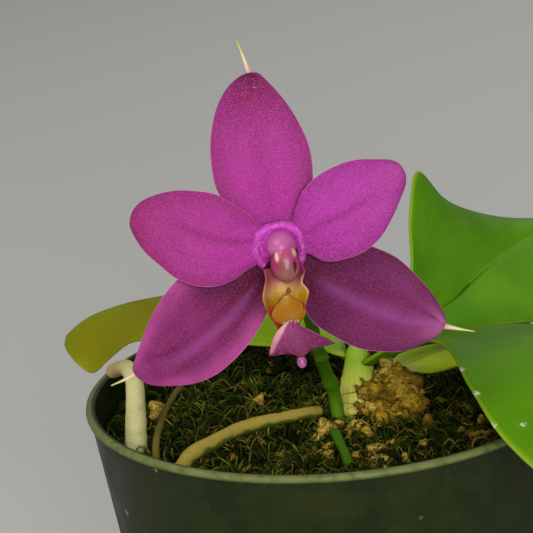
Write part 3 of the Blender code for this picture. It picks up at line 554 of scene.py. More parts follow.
def moss_height(x, y):
    """A rise round the stem, a dip at the left, and humps of a few millimetres."""
    r = np.hypot(x - STEM[0], y - STEM[1])
    rise = 2.2 * np.exp(-(r / 15.0) ** 2)
    dip = -2.4 * np.exp(-(((x + 34) / 16.0) ** 2 + ((y + 4) / 22.0) ** 2))
    humps = 0.9 * np.sin(0.31 * x + 1.1) * np.sin(0.27 * y + 0.4)
    knobs = 1.1 * np.sin(0.83 * x + 0.5 * y) * np.sin(0.71 * y - 0.4 * x + 2.0)
    fine = 0.45 * np.sin(1.7 * x - 0.9 * y + 0.6) * np.sin(1.5 * y + 1.1 * x)
    return MOSS_MEAN + rise + dip + humps + knobs + fine


def moss_ground(rows=130, sides=300):
    """Rings from the middle out: height = moss_height + two sizes of ripple; a skirt and a flat
    underside close it."""
    r = np.linspace(0.4, MOSS_RADIUS, rows)
    a = np.arange(sides) * 2 * np.pi / sides
    x, y = (r[:, None] * np.cos(a)).ravel(), (r[:, None] * np.sin(a)).ravel()
    flat = np.stack([x, y, 0 * x], 1)
    z = moss_height(x, y) + 0.45 * ripple(flat, 3.2, 3) + 0.30 * ripple(flat, 1.4, 4) - 0.35
    foot = MIX_TOP + GAP
    edge = np.stack([(MOSS_RADIUS - MOSS_TAPER) * np.cos(a), (MOSS_RADIUS - MOSS_TAPER) * np.sin(a), 0 * a + foot], 1)
    points = np.concatenate([np.stack([x, y, z], 1), edge, [[0, 0, z[0]], [0, 0, foot]]])
    k, i = np.meshgrid(np.arange(sides), np.arange(rows))
    k, i = k.ravel(), i.ravel()
    n = (k + 1) % sides
    body = np.stack([i * sides + k, (i + 1) * sides + k, (i + 1) * sides + n, i * sides + n], 1)
    k = np.arange(sides)
    n = (k + 1) % sides
    top, under = (rows + 1) * sides, (rows + 1) * sides + 1
    caps = np.concatenate([np.stack([0 * k + top, k, n], 1),
                           np.stack([0 * k + under, rows * sides + n, rows * sides + k], 1)])
    return points, [body, caps]


ground = Paint("moss_ground", roughness=0.95, specular=0.05)
patch = ground.grain(7.0, 4.0)
ground.colour(ground.steps(patch, (0.30, (0.003, 0.004, 0.001)), (0.48, (0.008, 0.013, 0.002)),
                           (0.66, (0.022, 0.034, 0.004)), (0.85, (0.050, 0.048, 0.010))))
ground.relief(ground.grain(0.8, 4.0), 0.6)
points, faces = moss_ground()
moss = put_mesh("moss_ground", points, faces, ground.material)
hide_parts("moss_carpet")
print("moss ground faces", len(moss.data.polygons))


# %% Needles and fibres, all at once
def strands(name, paths, radii, paint, tint):
    """Closed three-sided threads. paths is (how many, points along, 3); each point gets a triangle of
    corners round it, and the last one closes to a tip."""
    many, along, _ = paths.shape
    ahead = np.gradient(paths, axis=1)
    ahead /= np.linalg.norm(ahead, axis=2, keepdims=True) + 1e-9
    side = np.cross(ahead, np.array([0.31, 0.17, 0.94]))
    side /= np.linalg.norm(side, axis=2, keepdims=True) + 1e-9
    up = np.cross(side, ahead)
    turn = np.arange(3) * 2 * np.pi / 3
    taper = np.linspace(1, 0.35, along - 1) ** 0.8
    size = radii[:, None] * taper[None, :]
    ring = (np.cos(turn)[None, None, :, None] * side[:, :-1, None]
            + np.sin(turn)[None, None, :, None] * up[:, :-1, None])
    skin = paths[:, :-1, None] + ring * size[:, :, None, None]
    per = 3 * (along - 1) + 1
    points = np.concatenate([skin.reshape(many, -1, 3), paths[:, -1:]], 1).reshape(-1, 3)
    quads = np.array([[3 * i + k, 3 * i + (k + 1) % 3, 3 * (i + 1) + (k + 1) % 3, 3 * (i + 1) + k]
                      for i in range(along - 2) for k in range(3)])
    tips = np.array([[3 * (along - 2) + k, 3 * (along - 2) + (k + 1) % 3, per - 1] for k in range(3)]
                    + [[2, 1, 0]])
    base = np.arange(many)[:, None, None] * per
    values = {"tint": np.repeat(tint, per), "along": np.tile(np.append(np.repeat(np.linspace(0, 1, along - 1), 3), 1.0), many)}
    return put_mesh(name, points, [(quads[None] + base).reshape(-1, 4), (tips[None] + base).reshape(-1, 3)],
                    paint, values)


def scattered(many, rng, radius=MOSS_RADIUS - 1.2):
    """Random places spread evenly over the moss."""
    r, a = radius * np.sqrt(rng.random(many)), 2 * np.pi * rng.random(many)
    return r * np.cos(a), r * np.sin(a)


def tufts(many, each, rng, wide=1.5):
    """Places in tufts: each tuft's shoots stand round its middle and lean away from it. Returns x, y,
    the way that each shoot leans and the number of its tuft."""
    tuft = np.repeat(np.arange(many), each)
    middle_x, middle_y = (v[tuft] for v in scattered(many, rng, MOSS_RADIUS - 2.5))
    out, way = wide * np.sqrt(rng.random(len(tuft))), 2 * np.pi * rng.random(len(tuft))
    return middle_x + out * np.cos(way), middle_y + out * np.sin(way), way, tuft


def upright(x, y, z, way, rng, tall, lean, points=5):
    """Shoots that start at (x, y, z) and rise while they lean: out = lean times u to the power 1.6."""
    u = np.linspace(0, 1, points)
    height = rng.uniform(*tall, len(x))
    out = rng.uniform(*lean, len(x)) * height
    return np.stack([x[:, None] + (out * np.cos(way))[:, None] * u**1.6,
                     y[:, None] + (out * np.sin(way))[:, None] * u**1.6,
                     z[:, None] + height[:, None] * (u - 0.15 * u**3) - 0.5], 2)


def lying(x, y, rng, long, points=9, lift=0.5):
    """Fibres that follow the ground: they bend at a steady rate, and arch a little in their middle."""
    u = np.linspace(0, 1, points)
    length = rng.uniform(*long, len(x))[:, None]
    way = 2 * np.pi * rng.random((len(x), 1))
    bend = rng.normal(0, 1.3, (len(x), 1))
    px = x[:, None] + length * np.cumsum(np.cos(way + bend * u), 1) / points
    py = y[:, None] + length * np.cumsum(np.sin(way + bend * u), 1) / points
    far = np.hypot(px, py)
    squeeze = np.minimum(1, (MOSS_RADIUS - 1.0) / np.maximum(far, 1e-6))
    px, py = px * squeeze, py * squeeze
    arch = (lift + rng.uniform(0, 1.4, (len(x), 1))) * np.sin(np.pi * u) - 0.3 + 0.5
    return np.stack([px, py, moss_height(px, py) + arch], 2)


shoot_paint = Paint("moss_shoots", roughness=0.8, specular=0.10)
tint = shoot_paint.number("tint")
shoot_paint.colour(shoot_paint.blend(
    shoot_paint.span(shoot_paint.number("along"), 0.15, 0.95),
    shoot_paint.steps(tint, (0.0, (0.003, 0.006, 0.000)), (0.6, (0.010, 0.018, 0.001)), (1.0, (0.032, 0.034, 0.003))),
    shoot_paint.steps(tint, (0.0, (0.010, 0.020, 0.001)), (0.45, (0.034, 0.054, 0.002)), (0.78, (0.090, 0.120, 0.005)),
                      (1.0, (0.22, 0.21, 0.020)))))
rng = np.random.default_rng(21)
x, y, way, tuft = tufts(430, 15, rng)
inside = (np.hypot(x, y) < MOSS_RADIUS - 1.0) & (np.hypot(x - STEM[0], y - STEM[1]) > 4.0)
x, y, way, tuft = x[inside], y[inside], way[inside], tuft[inside]
tint_of = np.clip(rng.random(430)[tuft] + rng.normal(0, 0.15, len(x)), 0, 1)
paths = upright(x, y, moss_height(x, y), way + rng.normal(0, 0.5, len(x)), rng, (1.4, 3.6), (0.3, 1.2))
shoots = strands("moss_shoots", paths, rng.uniform(0.16, 0.36, len(x)), shoot_paint.material, tint_of ** 1.3)
print("moss shoots", len(x))

# %% Green strands that lie on the moss
rng = np.random.default_rng(27)
x, y = scattered(1050, rng)
lain = strands("moss_strands", lying(x, y, rng, (3.5, 10.0), lift=0.9), rng.uniform(0.20, 0.44, len(x)),
               shoot_paint.material, np.clip(rng.normal(0.55, 0.25, len(x)), 0, 1))
print("strands", len(x))

# %% Dry fibres on the moss
fibre_paint = Paint("moss_fibres", roughness=0.85, specular=0.10)
tint = fibre_paint.number("tint")
fibre_paint.colour(fibre_paint.steps(tint, (0.0, (0.020, 0.018, 0.002)), (0.45, (0.060, 0.048, 0.005)),
                                     (0.75, (0.14, 0.098, 0.014)), (1.0, (0.34, 0.24, 0.05))))
rng = np.random.default_rng(22)
x, y = scattered(480, rng)
fibres = strands("moss_fibres", lying(x, y, rng, (4.0, 12.0), lift=1.3), rng.uniform(0.12, 0.28, len(x)),
                 fibre_paint.material, rng.random(len(x)) ** 1.4)
print("fibres", len(x))


# %% [markdown]
# ## Crumbs and the dry heap
# Beside the stem old moss has dried into a golden, crumbly heap, and crumbs of it lie about on the
# green. Each crumb is a ball whose skin is pushed in and out by ripples. All crumbs share one array:
# the same few dozen directions, each set scaled, turned and roughened on its own.

# %% Crumbs, all at once
def crumbs(name, at, size, seed, paint, rows=8, sides=10, squash=0.8, tint=None):
    """Rough little balls: radius = size times (1 + 0.34 ripple of the direction, shifted per crumb)."""
    rng = np.random.default_rng(seed)
    many = len(at)
    rise = np.linspace(-np.pi / 2, np.pi / 2, rows)[1:-1]
    turn = np.arange(sides) * 2 * np.pi / sides
    r, a = np.meshgrid(rise, turn, indexing="ij")
    way = np.stack([np.cos(r) * np.cos(a), np.cos(r) * np.sin(a), np.sin(r)], -1).reshape(-1, 3)
    way = np.concatenate([way, [[0, 0, -1], [0, 0, 1]]])
    shift = rng.uniform(-50, 50, (many, 1, 3))
    bulge = 1 + 0.30 * ripple(way[None] + shift, 1.7, seed) + 0.12 * ripple(way[None] + shift, 0.8, seed + 1)
    spin = 2 * np.pi * rng.random((many, 1))
    stretch = rng.uniform(0.75, 1.35, (many, 1, 3)) * np.array([1, 1, squash])
    body = way[None] * bulge[..., None] * stretch * size[:, None, None]
    x = body[..., 0] * np.cos(spin) - body[..., 1] * np.sin(spin)
    y = body[..., 0] * np.sin(spin) + body[..., 1] * np.cos(spin)
    points = (np.stack([x, y, body[..., 2]], -1) + at[:, None]).reshape(-1, 3)
    n_rows = rows - 2
    quads = np.array([[i * sides + k, i * sides + (k + 1) % sides, (i + 1) * sides + (k + 1) % sides,
                       (i + 1) * sides + k] for i in range(n_rows - 1) for k in range(sides)])
    low, high = n_rows * sides, n_rows * sides + 1
    ends = np.array([[low, (k + 1) % sides, k] for k in range(sides)]
                    + [[high, (n_rows - 1) * sides + k, (n_rows - 1) * sides + (k + 1) % sides]
                       for k in range(sides)])
    base = np.arange(many)[:, None, None] * len(way)
    tint = rng.random(many) if tint is None else tint
    return put_mesh(name, points, [(quads[None] + base).reshape(-1, 4), (ends[None] + base).reshape(-1, 3)],
                    paint, {"tint": np.repeat(tint, len(way))})


crumb_paint = Paint("dry_crumbs", roughness=0.9, specular=0.10)
tint = crumb_paint.number("tint")
light = crumb_paint.steps(tint, (0.0, (0.14, 0.085, 0.004)), (0.5, (0.34, 0.21, 0.012)), (1.0, (0.58, 0.41, 0.075)))
crumb_paint.colour(crumb_paint.blend(crumb_paint.span(crumb_paint.grain(0.7, 3.0), 0.35, 0.65, 0.75, 0.0), light,
                                     (0.070, 0.040, 0.003)))
crumb_paint.relief(crumb_paint.grain(0.5, 3.0), 0.25)

SEEN_CRUMBS = np.array([  # crumbs that the photo shows clearly: place across, place back, size, tint
    (-4.3, -16.4, 1.5, 0.8), (-2.6, -14.0, 1.7, 0.9), (-0.2, -14.6, 1.2, 0.7), (3.4, -16.4, 1.3, 0.9),
    (5.0, -18.6, 1.8, 0.75), (10.3, -20.8, 1.3, 0.8), (7.3, -25.3, 1.5, 0.9), (9.0, -31.4, 1.3, 0.8),
    (6.2, -33.0, 1.1, 0.95), (8.6, -37.0, 1.4, 0.85), (-2.9, -37.9, 1.1, 0.9), (-38.8, 4.6, 1.8, 1.0),
    (-16.6, 6.9, 1.3, 0.8), (-6.4, 4.9, 1.4, 0.7)])
rng = np.random.default_rng(31)
x, y = scattered(250, rng, MOSS_RADIUS - 3.5)
x = np.concatenate([x, rng.normal(3.5, 5.5, 46)])
y = np.concatenate([y, rng.normal(-21.0, 6.0, 46)])
right_side = (x > -5) & (y < 5)
size = np.where(right_side, rng.uniform(0.4, 1.15, len(x)), rng.uniform(0.3, 0.7, len(x)))
tint_of = np.where(right_side, rng.uniform(0.1, 0.9, len(x)), rng.uniform(0.0, 0.45, len(x)))
x, y = np.append(x, SEEN_CRUMBS[:, 0]), np.append(y, SEEN_CRUMBS[:, 1])
size, tint_of = np.append(size, SEEN_CRUMBS[:, 2]), np.append(tint_of, SEEN_CRUMBS[:, 3])
at = np.stack([x, y, moss_height(x, y) + 0.6 * size], 1)
at[-3, 2] += 1.6  # the pale one beside the white root lies on a root
loose = crumbs("moss_crumbs", at, size, 5, crumb_paint.material, tint=tint_of)
print("crumbs", len(at))

# %% The heap of dry moss
MOUND_AT, MOUND_SIZE = np.array([11.6, -9.8, RIM - 2.8]), np.array([5.5, 4.6, 8.2])


def heap_skin(way):
    """The heap's skin: an egg shape, roughened by two sizes of ripple."""
    rough = 1 + 0.20 * ripple(way, 1.5, 61) + 0.10 * ripple(way, 0.5, 62)
    return MOUND_AT + way * MOUND_SIZE * (0.80 * rough)[:, None]


heap_paint = Paint("dry_moss", roughness=0.95, specular=0.05)
heap_paint.colour(heap_paint.steps(heap_paint.grain(2.2, 5.0, rough=0.65), (0.33, (0.030, 0.016, 0.001)),
                                   (0.48, (0.18, 0.11, 0.005)), (0.68, (0.42, 0.27, 0.025))))
heap_paint.relief(heap_paint.grain(0.9, 4.0), 0.7)
heap = ball("dry_moss_heap", heap_skin, heap_paint.material, 90, 120)
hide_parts("moss_mound_dry")
rng = np.random.default_rng(33)
way = rng.normal(size=(520, 3))
way /= np.linalg.norm(way, axis=1, keepdims=True)
way = way[(way[:, 2] > -0.2) & (ripple(way, 1.6, 71) > -0.7)]
on_heap = heap_skin(way) + (2.6 * rng.random((len(way), 1)) ** 2 - 0.5) * way
by_stem = STEM + 4.6 * np.stack([np.cos(f := rng.uniform(-1.10, 0.35, 60)), np.sin(f)], 1)
by_stem = np.column_stack([by_stem, RIM + rng.uniform(-6.5, 2.5, 60)])
at = np.concatenate([on_heap, by_stem])
size = 0.30 + 1.15 * rng.random(len(at)) ** 2.6
size[:16] = rng.uniform(1.5, 2.3, 16)
flakes = crumbs("heap_crumbs", at, size, 9, crumb_paint.material, tint=rng.uniform(0.05, 1.0, len(at)))
rng = np.random.default_rng(34)
pick = rng.integers(0, len(on_heap), 170)
start, out = on_heap[pick], way[pick]
side = rng.normal(size=(170, 3)) * 1.5
u = np.linspace(-0.4, 1, 7)[None, :, None]
paths = start[:, None] + u * (0.9 * out + side)[:, None] + u**2 * (0.9 * out - [0, 0, 0.9])[:, None]
wisps = strands("heap_wisps", paths, rng.uniform(0.08, 0.20, 170), fibre_paint.material, rng.uniform(0.5, 1.0, 170))
print("heap crumbs", len(way))

# %% [markdown]
# ## Stem
# A moth orchid has almost no stem: a short, swollen, pale piece wrapped by the feet of its leaves.
# It is a turned profile, with the papery edges of old leaf feet as low slanting steps.

# %% Stem
STEM_PROFILE = [(0.2, -21.5), (3.0, -21.0), (3.8, -10.0), (4.5, -6.5), (4.7, -2.5), (4.0, 1.5), (3.1, 5.0),
                (2.5, 8.0), (1.3, 10.0), (0.1, 10.5)]


def stem_line(t):
    """Straight up from the foot to the tip."""
    z = RIM - 21.5 + 32.0 * t
    return np.stack([0 * t + STEM[0], 0 * t + STEM[1], z], 1)


def stem_radius(t):
    """Radius read from the profile at each height, averaged over 1.6 mm to round its corners."""
    profile = np.array(STEM_PROFILE)
    height = -21.5 + 32.0 * t
    return sum(np.interp(height + h, profile[:, 1], profile[:, 0]) for h in np.linspace(-0.8, 0.8, 9)) / 9


def sheath_steps(points, t, angle):
    """Two slanting steps where old leaf feet end, and shallow ribs that run upward."""
    height = points[:, 2] - RIM
    first = 0.16 * ease(-(height + 3.4 + 1.3 * np.sin(angle + 0.6)), 0, 0.35)
    second = 0.12 * ease(-(height - 2.2 + 1.0 * np.sin(angle + 3.4)), 0, 0.35)
    return first + second - 0.12 + 0.05 * np.sin(18 * angle)


stem_paint = Paint("stem_skin", roughness=0.5, soft=0.10, specular=0.2)
fine_lines = stem_paint.grain(0.08, 2.0, stem_paint.pair(stem_paint.number("around"), stem_paint.number("along")))
# Along the stem: pale low down, then greener and darker towards the top. This is partly the stem's own green and partly
# painted shade under the leaf feet.
body_tone = stem_paint.steps(stem_paint.number("along"), (0.42, (0.42, 0.32, 0.07)), (0.54, (0.80, 0.74, 0.17)),
                             (0.72, (0.52, 0.56, 0.08)), (0.88, (0.24, 0.44, 0.015)))
stem_paint.colour(stem_paint.blend(stem_paint.span(fine_lines, 0.35, 0.7, 0.0, 0.30), body_tone, (0.42, 0.44, 0.06)))
stem_paint.relief(fine_lines, 0.08)
stem = stalk("stem_body", stem_line, stem_radius, stem_paint.material, 140, 72, (0, 1.0, 0), sheath_steps, 0.003)
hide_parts("stem")
print("stem faces", len(stem.data.polygons))

# %% [markdown]
# ## Leaves
# The leaves are thick, stiff and waxy, with a groove along the midrib, a pale yellow edge and only
# faint veins that run along the blade. Each is a sheet hung between three lines: left edge, midrib
# and right edge. The finish reads `across` and `along`, so the groove and the edge follow the blade.

# %% Leaf lines and their sheet
LEAVES = {
    "leaf_front_right": {
        "left": [(7.8, -1.8, 5.2), (14, -3.8, 8.0), (24, -6.8, 11.2), (43, -10.5, 12.6), (62, -15, 12),
                 (82, -24, 8), (99, -40, 0), (107, -58, -8), (108, -70, -13)],
        "mid": [(7.6, -5.4, 5.6), (18, -12.5, 11.5), (35, -28, 16.5), (55, -43, 16), (76, -58, 9),
                (94, -70, 0), (108, -75, -14.5)],
        "right": [(6.4, -7.6, 6.4), (13.5, -14, 12.4), (22, -28, 16.5), (26, -47, 13), (30.5, -59, 7),
                  (36, -67, 2.5), (46, -76, -3), (62, -85, -8), (84, -88, -12), (99, -85, -14),
                  (106, -79, -15)],
    },
    "leaf_back_right": {
        "left": [(5.4, -0.6, 8.8), (12.5, 3, 12.5), (18, 4, 20), (19.5, 9, 33), (22, 16, 41), (27, 24, 33),
                 (35, 40, 23.5), (50, 60, 13.5), (65, 76, 9), (80, 88, 4), (92, 92, -2)],
        "mid": [(7.2, -2.4, 8.2), (18, 5, 9.8), (26, 12, 11), (37, 28, 14), (50, 45, 15),
                (68, 64, 12.5), (84, 80, 6), (96, 90, -2.5)],
        "right": [(8.4, -3.8, 8.4), (16, 1.4, 9.2), (26, 5.0, 7.8), (38, 12, 5.4), (48, 20, 2.8), (66, 35, 0.6),
                  (84, 56, -2.0), (95, 74, -3.4), (97.5, 86, -4.0)],
    },
    "leaf_back_left": {
        "left": [(2.9, -3.2, 6.9), (0.6, -1.8, 7.2), (-1.6, 1.8, 6.9), (-4, 7, 5.8), (-11, 13, 4.6),
                 (-23, 21, 3.6), (-36, 27.5, 3.2), (-45, 30, 2.7), (-50, 30.3, -0.8), (-54, 31, -3.9),
                 (-57.5, 34.5, -2.6), (-60, 40, -1)],
        "mid": [(2.2, -0.8, 6.6), (-2, 9, 6.6), (-9, 21, 7), (-20, 30, 7.5), (-32, 37, 6.5),
                (-44, 42, 5.5), (-54, 44, 3), (-60.6, 43.5, -1)],
        "right": [(3.5, 1.6, 4), (2, 14, 9), (-4, 27, 10), (-13, 36, 10), (-24, 43, 9.2), (-36, 46.5, 7.8),
                  (-47, 48, 6), (-55, 47.5, 3.6), (-60, 46, 0.6)],
    },
    "leaf_low_right": {
        "left": [(8.8, 0.3, -0.5), (15, 8, 2), (24, 14, 3), (34, 16, 2), (41, 13, 0.6)],
        "mid": [(10.0, -2, -1), (18, 4, 1.2), (28, 8, 2.4), (37, 10, 1.6), (43.5, 10, 0.4)],
        "right": [(10.5, -4, -1), (16.5, -2.0, 1.8), (21, -1.6, 0.8), (27, -0.3, 1.0), (36, 3, 1.0),
                  (42.5, 7, 0.6)],
    },
}
LEAF_THICKNESS = 1.5


def leaf_sheet(lines):
    """From the midrib to an edge in equal steps, arched upward on each half, with a groove at the rib."""
    left, mid, right = (np.array(lines[k], float) + [0, 0, RIM] for k in ("left", "mid", "right"))

    def at(s, t):
        rib = through(mid, t)
        side = np.where((s < 0)[:, None], through(left, t), through(right, t))
        width = np.sqrt(s * s + 0.0144) - 0.12 * (1 - s * s) - 0.0072 * s * s
        reach = np.linalg.norm(side - rib, axis=1)
        bow = 0.10 * width * (1 - width) * reach - 0.10 * np.exp(-(s / 0.06) ** 2) * np.minimum(1, 3 * (1 - t))
        wave = 0.10 * np.sin(9 * t + 3 * s) * np.abs(s) ** 3 * np.minimum(1, 6 * t) * np.minimum(1, 6 * (1 - t))
        return rib + (side - rib) * width[:, None] + np.array([0, 0, 1.0]) * (bow + wave)[:, None]
    return at


# %% Leaf finishes
def leaf_paint(name, deep, bright, edge, veins=0.18, flecks=0.0, worn=0.0, foot=None, foot_end=0.2):
    """Waxy green in soft patches, faintly streaked along the blade, pale at the very edge, and painted lighter along
    the midrib as painted light.
    """
    paint = Paint(name, roughness=0.55, soft=0.03, specular=0.09)
    s, t = paint.number("across"), paint.number("along")
    along_blade = paint.pair(paint.math("MULTIPLY", s, 26.0), paint.math("MULTIPLY", t, 5.0))
    streaks = paint.grain(1.0, 4.0, along_blade, 0.6)
    patches = paint.grain(16.0, 3.0)
    tone = paint.blend(paint.span(patches, 0.3, 0.7), deep, bright)
    tone = paint.blend(paint.span(streaks, 0.45, 0.75, 0.0, veins), tone, tuple(min(1, 1.4 * c) for c in bright))
    dots = paint.grain(0.55, 2.0)
    tone = paint.blend(paint.span(dots, 0.45, 0.75, 0.0, 0.16), tone, tuple(1.3 * c for c in bright))
    off = paint.math("ABSOLUTE", s)
    # Painted light: the midrib is painted lighter, which lifts the shade in its groove.
    tone = paint.blend(paint.span(off, 0.09, 0.0, 0.0, 0.45), tone, tuple(1.35 * c for c in bright))
    tone = paint.blend(paint.math("MULTIPLY", paint.span(off, 0.955, 0.997), 0.55), tone, edge)
    if worn:
        aged = paint.math("MULTIPLY", paint.span(paint.grain(22.0, 4.0), 0.40, 0.66, 0.4, 1.0), paint.span(t, 0.35, 0.75))
        tone = paint.blend(paint.math("MULTIPLY", aged, worn), tone, (0.21, 0.165, 0.002))
    if foot:
        tone = paint.blend(paint.span(t, foot_end, 0.3 * foot_end), tone, foot)
    if flecks:
        spots = paint.math("MULTIPLY", paint.span(paint.cells(3.4), 0.05, 0.09, 1.0, 0.0),
                           paint.span(paint.grain(11.0, 2.0), 0.50, 0.60))
        tone = paint.blend(paint.math("MULTIPLY", spots, flecks), tone, (0.58, 0.64, 0.46))
        for at in CHALK:
            mark = paint.math("MULTIPLY", paint.near(at, 1.25), paint.span(paint.grain(0.5, 3.0), 0.36, 0.52))
            tone = paint.blend(mark, tone, (0.62, 0.66, 0.50))
    paint.colour(tone)
    paint.roughness(paint.span(streaks, 0.3, 0.8, 0.42, 0.56))
    paint.relief(paint.math("ADD", paint.math("MULTIPLY", streaks, 0.7), paint.math("MULTIPLY", dots, 0.3)), 0.08)
    return paint


CHALK = [(27.1, -48.6, 104.3), (24.8, -40.8, 106.8), (35.1, -57.3, 100.2), (29.2, -56.4, 100.5),
         (34.3, -9.0, 104.4), (34.0, -27.5, 108.2)]
LEAF_FINISH = {
    "leaf_front_right": leaf_paint("leaf_fresh", (0.060, 0.175, 0.001), (0.085, 0.230, 0.002), (0.28, 0.38, 0.015),
                                   flecks=0.7),
    "leaf_back_right": leaf_paint("leaf_fresh_back", (0.070, 0.225, 0.002), (0.110, 0.290, 0.004), (0.26, 0.36, 0.015),
                                  foot=(0.32, 0.40, 0.05), foot_end=0.10),
    "leaf_back_left": leaf_paint("leaf_old", (0.165, 0.290, 0.003), (0.230, 0.390, 0.010), (0.32, 0.40, 0.02), worn=0.80),
    "leaf_low_right": leaf_paint("leaf_old_small", (0.240, 0.360, 0.004), (0.340, 0.460, 0.010), (0.40, 0.44, 0.03),
                                 foot=(0.52, 0.50, 0.16), foot_end=0.30),
}
for name, lines in LEAVES.items():
    leaf = sheet(name + "_blade", leaf_sheet(lines), LEAF_THICKNESS, LEAF_FINISH[name].material, 170, 34, 0.25)
    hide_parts(name)
    print(name, "faces", len(leaf.data.polygons))

# %% [markdown]
# ## Roots
# Moth orchids breathe through thick roots that wander over the pot. Dry root skin is chalk white,
# damp skin turns tan or green. Each root is a stalk along the line of its solid, with slow swellings.

# %% Root lines and finishes
ROOTS = {
    "root_arched_white": ([(-43.2, -10.6, -12), (-43.3, -11.4, -6.4), (-42.9, -11.3, -0.4), (-42.5, -10.3, 4.6),
                           (-42.6, -7.6, 7.6), (-43.8, -3.0, 8.2), (-45.9, 1.6, 6.9), (-47.8, 5.4, 5.0)],
                          (2.5, 1.55), "root_white", (1.0, 0, 0.05)),
    "root_long": ([(-3.6, -8.6, -3.4), (-6.5, -11.0, -2.5), (-11, -13.0, -2.3), (-16, -14.6, -2.3),
                   (-21, -16.6, -2.6), (-26.3, -21.0, -3.2), (-32.1, -25.8, -4.6), (-35.5, -28.6, -9)],
                  (1.2, 1.75), "root_tan", (0, 0, 1.0)),
    "root_green": ([(-1.8, -15.8, -8), (-1.2, -19.7, -4.2), (-0.3, -26.4, -4.0), (0.9, -33.5, -5.6),
                    (1.4, -37, -9.5)],
                   (1.1, 0.95), "root_fresh", (1.0, 0, 0.05)),
    "root_dry_thin": ([(-39.2, -22.5, -9), (-38.9, -19.6, -4.4), (-38.1, -9.3, -3.2), (-36.0, 3.7, -2.8),
                       (-33.4, 13.1, -3.4), (-31, 18, -8.5)],
                      (0.8, 0.65), "root_dry", (1.0, 0, 0.05)),
}


def root_paint(name, top, low, spots, tip=None):
    """Chalky skin, painted lighter where it faces up and darker underneath as painted light and shade, with fine
    lengthwise lines and scattered stains.
    """
    paint = Paint(name, roughness=0.8, soft=0.04, specular=0.12)
    fine = paint.grain(0.12, 3.0, paint.pair(paint.number("around"), paint.math("MULTIPLY", paint.number("along"), 6.0)))
    # Painted light and shade: the top colour where the skin faces up, the lower colour underneath.
    turn = paint.math("ADD", paint.number("up"), paint.span(paint.grain(3.0), 0.2, 0.8, -0.35, 0.35))
    tone = paint.blend(paint.span(turn, -0.35, 0.25), low, top)
    tone = paint.blend(paint.span(paint.grain(1.3, 4.0), 0.55, 0.75, 0.0, 0.5), tone, spots)
    tone = paint.blend(paint.span(fine, 0.4, 0.7, 0.0, 0.25), tone, tuple(0.6 * c for c in top))
    if tip:
        tone = paint.blend(paint.span(paint.number("along"), 0.60, 0.85), tone, tip)
    paint.colour(tone)
    paint.relief(paint.math("ADD", fine, paint.grain(0.5, 3.0)), 0.10)
    return paint


ROOT_FINISH = {
    "root_arched_white": root_paint("root_chalk", (0.60, 0.57, 0.27), (0.50, 0.49, 0.21), (0.42, 0.38, 0.15), (0.46, 0.34, 0.14)),
    "root_long": root_paint("root_damp", (0.30, 0.235, 0.040), (0.050, 0.085, 0.004), (0.16, 0.13, 0.015)),
    "root_green": root_paint("root_new", (0.055, 0.15, 0.003), (0.020, 0.070, 0.001), (0.10, 0.14, 0.008)),
    "root_dry_thin": root_paint("root_old", (0.13, 0.105, 0.014), (0.045, 0.040, 0.004), (0.05, 0.04, 0.006)),
}
for name, (line, (r0, r1), where, aside) in ROOTS.items():
    line = np.array(line, float) + [0, 0, RIM]

    def swell(t, a=r0, b=r1):
        """Straight change of radius, with slow swellings of a few hundredths."""
        return a + (b - a) * t + 0.05 * np.sin(17 * t + a) + 0.03 * np.sin(41 * t)

    def skin(points, t, angle, a=r0):
        """Shallow dents, about a fiftieth of the radius."""
        return 0.013 * a * ripple(points, 3.2, 77)
    root = stalk(name + "_skin", line, swell, ROOT_FINISH[name].material, 150, 36, aside, skin)
    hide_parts(name)
    print(name, "faces", len(root.data.polygons))

# %% [markdown]
# ## Flower stalk
# The stalk rises from the stem's foot, passes behind the flower and carries it on a short thin
# stalk of its own, which is also the seed chamber. Small scales hug its joints.

# %% Flower stalk and the flower's own stalk
SPIKE = [(0.4, -9.4, -13), (0.2, -8.8, -5), (-0.2, -8.6, 0), (-1.6, -10.8, 6), (-3, -15, 12.5),
         (-4.2, -20.5, 22), (-5.2, -26.5, 32), (-6.2, -31.5, 40.5), (-7.0, -34.5, 46), (-7.6, -36.5, 49)]
PEDICEL = [(-8.0, -38.6, 47.6), (-8.3, -44, 49.2), (-8.6, -50, 48.6), (-8.6, -54.6, 48.2)]
JOINTS = (0.24, 0.58, 0.90)


def spike_radius(t):
    """From 1.45 down to 1.25 mm, with a soft swelling at each joint."""
    return 1.45 - 0.20 * t + sum(0.35 * np.exp(-((t - at) / 0.02) ** 2) for at in JOINTS)


green_paint = Paint("spike_skin", roughness=0.5, soft=0.05, specular=0.15)
lines = green_paint.grain(0.15, 2.0, green_paint.pair(green_paint.number("around"), green_paint.number("along")))
tone = green_paint.steps(green_paint.number("along"), (0.12, (0.075, 0.18, 0.004)), (0.35, (0.032, 0.11, 0.001)),
                         (0.75, (0.050, 0.12, 0.004)), (1.0, (0.10, 0.09, 0.02)))
green_paint.colour(green_paint.blend(green_paint.span(lines, 0.4, 0.75, 0.0, 0.3), tone, (0.085, 0.19, 0.004)))
green_paint.relief(lines, 0.06)
spike = stalk("spike_stalk", np.array(SPIKE, float) + [0, 0, RIM], spike_radius, green_paint.material, 160, 32,
              (1.0, 0, 0.1), closed_ends=0.02)
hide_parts("flower_spike")


def scale_sheet(foot, tip, width):
    """A small pointed scale, cupped round the stalk: half width = width times sqrt(1 - t)."""
    foot, tip = np.array(foot, float), np.array(tip, float)

    def at(s, t):
        across = np.array([1.0, 0.25, 0.1])
        out = np.array([0.0, -1.0, 0.2])
        bend = 0.8 * width * (1 - s * s)
        return (foot + (tip - foot) * t[:, None] + across * (width * s * np.sqrt(1.02 - t))[:, None]
                + out * (bend * (1 - 0.4 * t) + 0.9)[:, None])
    return at


